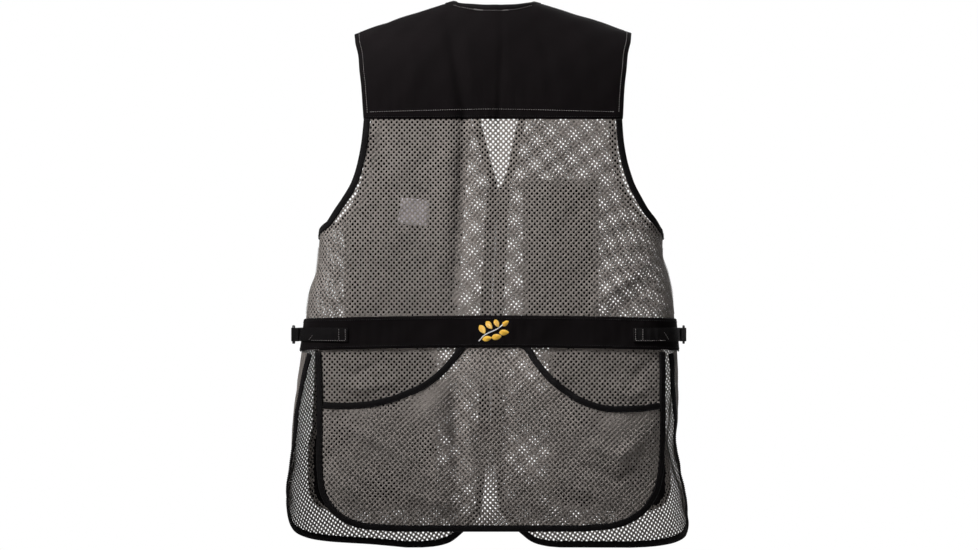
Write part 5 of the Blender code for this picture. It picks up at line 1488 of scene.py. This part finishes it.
def strap_from_back(side):
    """From the belt, round the buckle's rear bar and back on itself."""
    name = side_name(side)
    first = abs(girth_back(side, STRAP_START[name], STRAP_LEVEL)[0])
    edges = on_shell(side * np.linspace(first, STRAP_LAST[name], 60), BELT_FAR + LAYER + WEBBING_THICK / 2)
    leave_f, leave_o = leaving(side, edges)
    near_f, near_o = BAR_REAR - 0.003, -STRAP_TURN
    path = [(near_f, near_o)] + arc(BAR_REAR, 0.0, STRAP_TURN, -90, 90, 15)
    back_f = leave_f + (near_f - leave_f) * (1 - STRAP_RETURN)
    back_o = leave_o + (near_o - leave_o) * (1 - STRAP_RETURN)
    path += [(near_f, STRAP_TURN), (back_f, back_o + STACK + 0.0006)]
    path += [(back_f - 0.006, back_o + STACK - 0.006 * (near_o - leave_o) / (near_f - leave_f))]
    return strap_run(side, edges, path)


def strap_from_front(side):
    """From the front, under the buckle, over its middle bar and out again as a tail."""
    seam, _ = quarter_lengths(side, STRAP_LEVEL)
    girths = side * (seam + np.linspace(STRAP_FRONT_REACH, STRAP_FRONT_LEAVE, 24))
    edges = on_shell(girths, NET_THICK + LAYER + WEBBING_THICK / 2)
    leave_f, leave_o = leaving(side, edges)
    under, enter_f = -STRAP_TURN - STACK, BAR_FRONT + 0.004
    run = math.hypot(leave_f - enter_f, leave_o - under)
    path = [(enter_f, under), (BAR_MIDDLE + 0.003, under)]
    path += arc(BAR_MIDDLE, under + STRAP_TURN, STRAP_TURN, -110, -180, 7)
    path += arc(BAR_MIDDLE, 0.0, STRAP_TURN, 180, 15, 15)
    past = BAR_MIDDLE + STRAP_TURN
    path += [(past + 0.0014, -STRAP_TURN + 0.0006), (past + 0.0028, -STRAP_TURN), (enter_f, -STRAP_TURN)]
    way_f, way_o = (leave_f - enter_f) / run, (leave_o - under) / run
    path += [(enter_f + way_f * TAIL_LENGTH, -STRAP_TURN + way_o * TAIL_LENGTH)]
    return strap_run(side, edges, path)


def on_strap(middle, across, start, end, lift):
    """Points and ways out along a line on a strap, between two (run, across) places."""
    run = distances(middle)
    places = np.linspace(start, end, 40)
    spot, wide, along = (
        points_at(places[:, 0], run, line) for line in (middle, across, np.gradient(middle, axis=0)))
    out = unit(np.cross(wide, along))
    out *= np.where((out * (spot * [1, 1, 0])).sum(axis=1, keepdims=True) < 0, -1, 1)
    return spot + wide * places[:, 1:] + out * lift, out


def zip_lines(levels):
    """Places down the middle of the zip, with the ways right, up and out at each."""
    middle = read(OPENING, "middle", levels)
    girth = girth_front(1, middle, levels)
    out = outward(girth, levels)
    out[:, 0] = 0
    out = unit(out)
    up = np.stack([np.zeros(len(out)), -out[:, 2], out[:, 1]], axis=1)
    return placed(girth, levels, 0), up, out


def slider_frame():
    middle, up, out = zip_lines(np.array([SLIDER_LEVEL]))
    return middle[0], RIGHT, up[0], out[0]


def leaf_places(middle, length, width, turn):
    """Places over a leaf: rows along it, columns across it, and its own length and width."""
    along = np.linspace(-1, 1, 15)
    across = np.linspace(-1, 1, 7)
    half = width / 2 * (1 - np.abs(along) ** 2.2) ** 0.85 * (1 - 0.18 * along) + 0.0002
    u = np.broadcast_to(along[:, None] * length / 2, (15, 7))
    v = across[None, :] * half[:, None]
    girth = middle[0] + u * math.cos(turn) - v * math.sin(turn)
    level = middle[1] + u * math.sin(turn) + v * math.cos(turn)
    dome = np.sqrt(np.clip(1 - across**2, 0, 1))[None, :] * (1 - np.abs(along) ** 4)[:, None]
    return girth, level, dome, np.stack([u, v], axis=-1)


class Step:
    """What the steps share: each one makes its own pieces."""

    def execute(self, context):
        self.make()
        return {"FINISHED"}


class VEST_OT_nets(Step, bpy.types.Operator):
    """Nets of the back and both fronts"""

    bl_idname = "vest.nets"
    bl_label = "Back and front nets"

    def make(self):
        flat_size(make_back_net(), BACK_CUT, 1)
        for side in (-1, 1):
            flat_size(make_front_net(side), FRONT_CUT, 1)


class VEST_OT_pouch(Step, bpy.types.Operator):
    """Net pouch across the lower back, with its two bound mouths"""

    bl_idname = "vest.pouch"
    bl_label = "Back pouch"

    def make(self):
        flat_size(make_pouch_net(), POUCH_CUT, 1)
        top = spaced(pouch_top_line(), TAPE_STEP)
        width = vest_sizes().tape_width
        for side in (-1, 1):
            line = top[side * top[:, 0] >= POUCH_TAPE_START]
            inner, outer = beside(line, SEAM), beside(line, SEAM + width)
            for edge in (inner, outer):
                edge[:, 1] = np.maximum(edge[:, 1], belt_lower(edge[:, 0]) + SEAM)
            lift = pouch_swell(line[:, 0], line[:, 1])
            name = "pouch_binding_" + side_name(side)
            far = NET_THICK - TAPE_NEAR
            tape_piece(name, inner, outer, 0.0, far, lift)
            row = beside(line, SEAM + BINDING_ROW)
            points = placed(row[:, 0], row[:, 1], far + lift)
            stitching(name + "_stitches", [(points, outward(row[:, 0], row[:, 1]))], "dark_thread")


class VEST_OT_yokes(Step, bpy.types.Operator):
    """Twill yokes over the shoulders, back and fronts"""

    bl_idname = "vest.yokes"
    bl_label = "Yokes"

    def make(self):
        step = vest_sizes().cloth_step
        girth, level = yoke_places(step)
        piece = cloth_piece("back_yoke_cloth", girth, level, 0, TWILL_THICK, node="back_yoke")
        flat_size(piece, YOKE_CUT, 2)
        rows = rim_rows(girth, level, YOKE_SIDE_ROW, ("first", "last"), TWILL_THICK)
        rows += rim_rows(girth, level, YOKE_LOW_ROW, ("bottom",), TWILL_THICK)
        stitching("back_yoke_stitches", rows, "thread")
        rows = rim_rows(girth, level, YOKE_EDGE_ROW, ("bottom",), TWILL_THICK)
        stitching("back_yoke_edge_stitches", rows, "dark_thread")
        for side in (-1, 1):
            girth, level = front_yoke_places(side, step)
            name = "front_yoke_" + side_name(side)
            piece = cloth_piece(name + "_cloth", girth, level, 0, TWILL_THICK, node=name)
            flat_size(piece, FRONT_YOKE_CUT, 2)
            rows = rim_rows(girth, level, YOKE_SIDE_ROW, ("first",), TWILL_THICK)
            for within in (YOKE_EDGE_ROW, YOKE_LOW_ROW):
                rows += rim_rows(girth, level, within, ("bottom",), TWILL_THICK)
            stitching(name + "_stitches", rows, "thread")


class VEST_OT_bindings(Step, bpy.types.Operator):
    """Binding tape folded over every raw edge of the nets and the neck"""

    bl_idname = "vest.bindings"
    bl_label = "Binding tapes"

    def make(self):
        width = vest_sizes().tape_width
        for side in (-1, 1):
            name = side_name(side)
            back = arm_line(side, "back")
            front = arm_line(side, "front")[::-1]
            self.bind("armhole_binding_" + name, np.concatenate([back, front]), side, width)
            down = opening_line(side, SHOULDER_GAP, HEM_LEVEL)
            vent = vent_line(side)
            low = np.linspace(down[-1], vent[-1], 60)[1:-1]
            upper = down[down[:, 1] <= HEM_SPLIT]
            lower = np.concatenate([down[down[:, 1] >= HEM_SPLIT], low, vent[::-1]])
            self.bind("front_binding_" + name, upper, side, width)
            self.bind("hem_binding_" + name, lower, side, width)
        left, right = tail_line(-1, TAIL_TAPE_TOP), tail_line(1, TAIL_TAPE_TOP)[::-1]
        low = np.linspace(left[-1], right[0], 80)[1:-1]
        line = spaced(np.concatenate([left, low, right]), TAPE_STEP)
        far = 2 * NET_THICK + LAYER - TAPE_NEAR
        tape_piece("tail_binding", beside(line, -SEAM), beside(line, -SEAM - width), TAPE_NEAR, far)
        row = on_cloth(beside(line, -SEAM - BINDING_ROW), far)
        stitching("tail_binding_stitches", [row], "dark_thread")
        share = np.linspace(-1, 1, 61)
        edges = []
        for more in (NECK_TAPE_WIDTH - NECK_SEAM, 0):
            half = NECK_HALF + more
            level = np.maximum(neck_level(np.abs(share), half, NECK_DIP + more), SHOULDER_GAP)
            edges.append(line_of(share * half, level))
        tape_piece("back_neck_binding", *edges, TAPE_NEAR, TAPE_FAR)
        half = NECK_HALF + NECK_TAPE_WIDTH + NECK_ROW
        share = np.linspace(-0.84, 0.84, 90)
        line = line_of(share * half, neck_level(np.abs(share), half, NECK_DIP + half - NECK_HALF))
        stitching("neck_stitches", [on_cloth(line, TWILL_THICK)], "thread")
        tacks = []
        for start, end in BAR_TACKS:
            part = line[(line[:, 0] > start) & (line[:, 0] < end)]
            for shift in (-TACK_SHIFT, 0.0, TACK_SHIFT):
                tacks.append(on_cloth(part + np.array([0, shift]), TWILL_THICK + 0.0001, 0.0004))
        stitching("loop_bar_tacks", tacks, "thread", length=TACK_LENGTH, pitch=TACK_PITCH)

    def bind(self, name, line, side, width):
        line = spaced(line, TAPE_STEP)
        inner, outer = beside(line, side * SEAM), beside(line, side * (SEAM + width))
        for edge in (inner, outer):
            edge[:, 1] = np.maximum(edge[:, 1], SHOULDER_GAP)
        tape_piece(name, inner, outer, TAPE_NEAR, TAPE_FAR)
        row = beside(line, side * (SEAM + BINDING_ROW))
        row[:, 1] = np.maximum(row[:, 1], SHOULDER_GAP)
        stitching(name + "_stitches", [on_cloth(row, TAPE_FAR)], "dark_thread")


class VEST_OT_belt(Step, bpy.types.Operator):
    """Twill belt across the back of the waist"""

    bl_idname = "vest.belt"
    bl_label = "Back belt"

    def make(self):
        sizes = vest_sizes()
        ends = [side_seam(side, [BELT_LEVEL], BELT_PAST)[0] for side in (-1, 1)]
        girth = np.linspace(*ends, int((ends[1] - ends[0]) / sizes.cloth_step))
        upper = BELT_LEVEL + BELT_END_DROP * (girth / ends[1]) ** 2
        level = upper + np.linspace(0, 1, 15)[:, None] * sizes.belt_height
        girth = np.broadcast_to(girth, level.shape)
        piece = cloth_piece("back_belt_cloth", girth, level, BELT_NEAR, BELT_FAR, node="back_belt")
        rows = rim_rows(girth, level, BELT_ROW, ("top", "bottom"), BELT_FAR)
        sewn = [stitching("back_belt_stitches", rows, "dark_thread")]
        rows = []
        for start, end in BELT_STITCHES:
            line = np.linspace(start, end, 12)
            rows.append(on_cloth(line_of(line, belt_lower(line) - BELT_END_ROW), BELT_FAR))
        sewn.append(stitching("belt_end_stitches", rows, "thread"))
        flat_size(piece, (ends[1] - ends[0], sizes.belt_height), 0)


class VEST_OT_patches(Step, bpy.types.Operator):
    """Twill patches on the chest and pockets below the belt, on the outside of the fronts"""

    bl_idname = "vest.patches"
    bl_label = "Chest patches and front pockets"

    def make(self):
        for name, side, levels, rear, front, near in patch_cuts():
            girth, level = front_places(side, levels, rear, front)
            far = near + TWILL_THICK
            piece = cloth_piece(name + "_cloth", girth, level, near, far, node=name)
            rows = rim_rows(girth, level, PATCH_ROW, ALL_ROUND, far)
            sewn = stitching(name + "_stitches", rows, "dark_thread")
            wide, high = float(np.abs(girth[:, -1] - girth[:, 0]).max()), float(levels[-1] - levels[0])
            flat_size(piece, (wide, high), 2)


class VEST_OT_label(Step, bpy.types.Operator):
    """Plain woven label inside the left front"""

    bl_idname = "vest.label"
    bl_label = "Label"

    def make(self):
        corners = np.array(LABEL_CORNERS).reshape(2, 2, 2)
        down, along = np.linspace(0, 1, 18)[:, None, None], np.linspace(0, 1, 20)[None, :, None]
        grid = (corners[0, 0] * (1 - along) + corners[0, 1] * along) * (1 - down)
        grid = grid + (corners[1, 0] * (1 - along) + corners[1, 1] * along) * down
        level = grid[..., 1]
        girth = girth_front(-1, grid[..., 0].ravel(), level.ravel()).reshape(level.shape)
        piece = cloth_piece("chest_label_cloth", girth, level, LABEL_NEAR, LABEL_FAR, "label", "chest_label")
        rows = [(points, -out) for points, out in rim_rows(girth, level, LABEL_ROW, ALL_ROUND, LABEL_NEAR)]
        sewn = stitching("chest_label_stitches", rows, "dark_thread", width=LABEL_THREAD)
        flat_size(piece, (LABEL_WIDTH, LABEL_HEIGHT), 0)


class VEST_OT_hanger_loop(Step, bpy.types.Operator):
    """Hanger loop inside the neck"""

    bl_idname = "vest.hanger_loop"
    bl_label = "Hanger loop"

    def make(self):
        share = np.linspace(-1, 1, 33)
        across = LOOP_MIDDLE + share * LOOP_HALF
        upper = neck_level(np.abs(across) / NECK_HALF, NECK_HALF, NECK_DIP) + LOOP_BELOW
        upper = upper + LOOP_SAG * (1 - share**2)
        away = LOOP_OFF - LOOP_STAND * (1 - share**4)
        level = upper + np.linspace(0, 1, 5)[:, None] * LOOP_WIDTH
        girth = np.broadcast_to(across, level.shape)
        cloth_piece("hanger_loop_tape", girth, level, away - LOOP_THICK, away, "tape", "hanger_loop")


class VEST_OT_straps(Step, bpy.types.Operator):
    """Side straps of webbing and the ladder locks that they run through"""

    bl_idname = "vest.straps"
    bl_label = "Side straps and ladder locks"

    def make(self):
        for side in (-1, 1):
            name = side_name(side)
            middle, across = strap_from_back(side)
            back = self.strap("side_strap_back_" + name, middle, across)
            rows = [on_strap(middle, across, *line, WEBBING_THICK / 2) for line in STRAP_STITCHES[name]]
            sewn = stitching("strap_stitches_" + name, rows, "thread")
            self.flat(back, middle, "back_belt_cloth", (sewn,))
            middle, across = strap_from_front(side)
            front = self.strap("side_strap_front_" + name, middle, across)
            self.flat(front, middle, "front_net_" + name, ())
            self.lock(side)

    def strap(self, name, middle, across):
        section = rounded_section(WEBBING_WIDTH, WEBBING_THICK, WEBBING_THICK * 0.42)
        return tube_piece(name + "_webbing", swept_rings(middle, across, section), "webbing", name)

    def flat(self, piece, middle, under, sewn):
        length = float(distances(middle)[-1])
        flat_size(piece, (WEBBING_WIDTH, length), 0)

    def lock(self, side):
        """A frame with a bar across it, moulded in one."""
        middle, forward, out = buckle_frame(side)
        up = np.array([0, 0, 1.0])
        tall = WEBBING_WIDTH / 2 + RAIL_CLEAR + RAIL / 2
        loop = rounded_section(BAR_FRONT - BAR_REAR, 2 * tall, 0.003, 5)
        loop[:, 0] += (BAR_FRONT + BAR_REAR) / 2
        path = middle + loop[:, :1] * forward + loop[:, 1:] * up
        frame_body = loop_body(path, out, rounded_section(2 * BAR_HALF, RAIL, 0.0011))
        bar = np.linspace(-tall, tall, 5)[:, None] * up + middle + BAR_MIDDLE * forward
        bar_body = ring_body(swept_rings(bar, out, rounded_section(2 * BAR_HALF, 2 * BAR_HALF, 0.0013)))
        name = "ladder_lock_" + side_name(side)
        bodies_piece(name + "_moulding", [frame_body, bar_body], "plastic", name)


class VEST_OT_zip(Step, bpy.types.Operator):
    """Front zip: its tapes, its teeth, its slider and the pull tab"""

    bl_idname = "vest.zip"
    bl_label = "Front zip"

    def make(self):
        levels = fine(ZIP_TOP, ZIP_END)[::2]
        for side in (-1, 1):
            name = "zip_tape_" + side_name(side)
            middle = side * read(OPENING, "middle", levels)
            reach = np.linspace(CHAIN_HALF - 0.0009, CHAIN_HALF + ZIP_TAPE_WIDTH, 7)
            girth = np.stack([girth_front(side, middle + one, levels) for one in reach], axis=1)
            level = np.broadcast_to(levels[:, None], girth.shape)
            piece = cloth_piece(name + "_cloth", girth, level, ZIP_TAPE_NEAR, ZIP_TAPE_FAR, "tape", name)
            flat_size(piece, (ZIP_TAPE_WIDTH, ZIP_END - ZIP_TOP))
        self.teeth(vest_sizes().tooth_pitch)
        self.slider()
        self.pull_tab()

    def teeth(self, pitch):
        half = np.array(TOOTH_HALF)
        outline = np.concatenate([half, half[::-1] * [1, -1]])
        bodies = []
        for side in (-1, 1):
            levels = np.arange(ZIP_TOP + TEETH_START + (side + 1) * pitch / 4, ZIP_END - TEETH_END, pitch)
            for middle, up, out in zip(*zip_lines(levels)):
                place = (middle, np.array([float(side), 0, 0]), up, out)
                bodies.append(plate_body(outline, CHAIN_NEAR, CHAIN_FAR, 0.0003, place))
        stop = rounded_section(*STOP)
        middles, ups, outs = zip_lines(np.array([ZIP_TOP + 0.0014, ZIP_END - 0.005]))
        for side in (-1, 1):
            place = (middles[0] + np.array([side * STOP_ASIDE, 0, 0]), RIGHT, ups[0], outs[0])
            bodies.append(plate_body(stop, CHAIN_NEAR, CHAIN_FAR, 0.0004, place))
        box = rounded_section(*BOX)
        place = (middles[1], RIGHT, ups[1], outs[1])
        bodies.append(plate_body(box, CHAIN_NEAR - 0.0003, CHAIN_FAR + 0.0002, 0.0005, place))
        bodies_piece("zip_teeth", bodies, "metal", "zip_chain")

    def slider(self):
        place = slider_frame()
        half = np.array(SLIDER_HALF)
        outline = np.concatenate([half, half[::-1] * [-1, 1]])
        bodies = [plate_body(outline, SLIDER_NEAR, SLIDER_FAR, 0.0006, place)]
        middle, right, up, out = place
        bridge = np.array(BRIDGE)
        path = middle + bridge[:, :1] * up + (bridge[:, 1:] + SLIDER_FAR - 0.0002) * out
        bodies.append(ring_body(swept_rings(path, right, rounded_section(0.0022, 0.0012, 0.0004))))
        bodies_piece("zip_slider_casting", bodies, "metal", "zip_slider")

    def pull_tab(self):
        """An eye round the slider's bridge and a tongue to hold."""
        middle, right, up, out = slider_frame()
        axis = middle + out * (SLIDER_FAR + PULL_AXIS)
        eye = rounded_section(2 * PULL_HALF - PULL_RAIL, PULL_EYE, 0.0014, 4)
        path = axis + eye[:, :1] * right + (eye[:, 1:] - PULL_EYE / 2) * up
        bodies = [loop_body(path, out, rounded_section(PULL_BAR, PULL_RAIL, 0.0005))]
        tongue = rounded_section(2 * PULL_HALF, PULL_LENGTH - PULL_EYE, 0.0022, 5)
        tongue[:, 1] -= (PULL_LENGTH + PULL_EYE) / 2
        place = (axis, right, up, out)
        bodies.append(plate_body(tongue, -PULL_BAR / 2, PULL_BAR / 2, 0.0004, place))
        for step in range(4):
            rib = rounded_section(*RIB)
            rib[:, 1] -= PULL_LENGTH - RIB_FIRST - RIB_STEP * step
            bodies.append(plate_body(rib, PULL_BAR / 2 - 0.0002, PULL_BAR / 2 + 0.00035, 0.00025, place))
        bodies_piece("zip_pull_tab_casting", bodies, "metal", "zip_pull_tab", "pull_tab")


class VEST_OT_motif(Step, bpy.types.Operator):
    """Embroidered sprig on the middle of the belt"""

    bl_idname = "vest.motif"
    bl_label = "Embroidered sprig"

    def make(self):
        for k, (across, down, length, width, turn) in enumerate(LEAVES):
            middle = (MOTIF_PLACE[0] + across, MOTIF_PLACE[1] + down)
            girth, level, dome, own = leaf_places(middle, length, width, math.radians(turn))
            self.satin("sprig_leaf_%d" % (k + 1), girth, level, dome, own, "gold")
        stem = spaced(smoothed(spaced(np.array(STEM) + MOTIF_PLACE, 0.002), 4), 0.0012)
        sides = np.array([-1, -0.6, 0, 0.6, 1]) * STEM_WIDTH / 2
        strip = np.stack([beside(stem, one) for one in sides], axis=1)
        dome = np.broadcast_to(np.sqrt(np.clip(1 - (sides / sides[-1]) ** 2, 0, 1)), strip.shape[:2])
        own = np.stack(np.broadcast_arrays(np.arange(len(stem))[:, None] * 0.0012, sides[None, :]), axis=-1)
        self.satin("sprig_stem", strip[..., 0], strip[..., 1], dome, own, "pale")

    def satin(self, name, girth, level, dome, own, cover):
        near, far = BELT_FAR - 0.0004, BELT_FAR + 0.0001 + SATIN_HEIGHT * dome
        cloth_piece(name, girth, level, near, far, cover, own=own)


class VEST_OT_seams(Step, bpy.types.Operator):
    """Stitches of the shoulder and side seams"""

    bl_idname = "vest.seams"
    bl_label = "Seam stitches"

    def make(self):
        for side in (-1, 1):
            name = side_name(side)
            levels = np.linspace(ARM_END + 0.01, BELT_LEVEL - 0.002, 80)
            zigzag = np.where(np.arange(80) % 2 > 0, ZIGZAG, -ZIGZAG)
            seam = line_of(side_seam(side, levels, zigzag), levels)
            rows = [on_cloth(seam, NET_THICK)]
            stitching("side_seam_stitches_" + name, rows, "thread", pitch=ZIGZAG_PITCH)
            across = np.linspace(NECK_HALF + NECK_TAPE_WIDTH + 0.004, YOKE_EDGE[0].back - 0.007, 40)
            rows = []
            for turn in (girth_back, girth_front):
                girth = turn(side, across, np.full(40, SHOULDER_ROW))
                rows.append(on_cloth(line_of(girth, np.full(40, SHOULDER_ROW)), TWILL_THICK))
            stitching("shoulder_seam_stitches_" + name, rows, "dark_thread")


class VEST_OT_stage(Step, bpy.types.Operator):
    """Floor, soft light and camera"""

    bl_idname = "vest.stage"
    bl_label = "Stage"

    def make(self):
        scene, half = bpy.context.scene, FLOOR_HALF
        mesh = bpy.data.meshes.new("floor")
        corners = [(-half, -half, 0), (half, -half, 0), (half, half, 0), (-half, half, 0)]
        mesh.from_pydata(corners, [], [(0, 1, 2, 3)])
        mesh.materials.append(FINISHES["floor"])
        floor = put("floor", mesh)
        floor.location.z = FLOOR_LEVEL
        world = bpy.data.worlds.new("white_room")
        world.use_nodes = True
        self.surround(world.node_tree)
        scene.world = world
        scene.view_settings.view_transform = "Standard"
        for row in LAMPS:
            self.lamp(*row)
        middle_x = (PHOTO_WIDTH / 2 - PHOTO_AXIS) * PHOTO_SCALE
        middle_z = -(PHOTO_HEIGHT / 2 - PHOTO_TOP) * PHOTO_SCALE
        distance = PHOTO_WIDTH * PHOTO_SCALE * LENS / SENSOR
        lens = bpy.data.cameras.new("camera")
        lens.lens, lens.sensor_width = LENS, SENSOR
        lens.clip_start, lens.clip_end = CLIP_NEAR, CLIP_FAR
        camera = put("camera", lens)
        camera.location = (middle_x, -distance, middle_z)
        camera.rotation_euler = (math.pi / 2, 0, 0)
        scene.camera = camera

    def surround(self, tree):
        """A room that is white to look at and lights the vest more gently than that."""
        tree.nodes.clear()
        seen = add_node(tree, "ShaderNodeBackground", None, {"Color": (1, 1, 1, 1), "Strength": 1.0})
        toward = add_node(tree, "ShaderNodeTexCoord").outputs["Generated"]
        parts = add_node(tree, "ShaderNodeSeparateXYZ", None, {"Vector": toward})
        share = add_node(tree, "ShaderNodeMapRange", None, {
            "Value": parts.outputs["Y"], "From Min": -1.0, "From Max": 1.0, "To Min": ROOM_LIGHT_BACK,
            "To Max": ROOM_LIGHT_FRONT})
        light = add_node(tree, "ShaderNodeBackground", None, {
            "Color": (1, 1, 1, 1), "Strength": share.outputs["Result"]})
        path = add_node(tree, "ShaderNodeLightPath")
        mixed = add_node(tree, "ShaderNodeMixShader", None, {
            0: path.outputs["Is Camera Ray"], 1: light.outputs[0], 2: seen.outputs[0]})
        add_node(tree, "ShaderNodeOutputWorld", None, {"Surface": mixed.outputs[0]})

    def lamp(self, name, place, aim, size, power, spread):
        light = bpy.data.lights.new(name, "AREA")
        light.shape, light.size, light.energy = "DISK", size, power
        light.spread = math.radians(spread)
        lamp = put(name, light)
        lamp.location = place
        way = Vector(aim) - Vector(place)
        lamp.rotation_euler = way.to_track_quat("-Z", "Y").to_euler()


OPERATORS = (
    VEST_OT_nets, VEST_OT_pouch, VEST_OT_yokes, VEST_OT_bindings, VEST_OT_belt, VEST_OT_patches,
    VEST_OT_label, VEST_OT_hanger_loop, VEST_OT_straps, VEST_OT_zip, VEST_OT_motif, VEST_OT_seams,
    VEST_OT_stage,
)


class VEST_PT_vest(bpy.types.Panel):
    bl_label = "Vest"
    bl_idname = "VEST_PT_vest"
    bl_space_type = "VIEW_3D"
    bl_region_type = "UI"
    bl_category = "Vest"

    def draw(self, context):
        for operator in OPERATORS:
            self.layout.operator(operator.bl_idname)
        for group in (context.scene.vest_sizes, context.scene.vest_colours):
            for name in group.bl_rna.properties.keys():
                if name not in ("rna_type", "name"):
                    self.layout.prop(group, name)


def register():
    for made in (VestSizes, VestColours, *OPERATORS, VEST_PT_vest):
        bpy.utils.register_class(made)
    bpy.types.Scene.vest_sizes = bpy.props.PointerProperty(type=VestSizes)
    bpy.types.Scene.vest_colours = bpy.props.PointerProperty(type=VestColours)


def unregister():
    del bpy.types.Scene.vest_sizes
    del bpy.types.Scene.vest_colours
    for made in (VEST_PT_vest, *OPERATORS[::-1], VestColours, VestSizes):
        bpy.utils.unregister_class(made)


def main():
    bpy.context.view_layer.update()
    register()
    FINISHES.update(finishes())
    for operator in OPERATORS:
        group, name = operator.bl_idname.split(".")
        getattr(getattr(bpy.ops, group), name)()


if __name__ == "__main__":
    main()
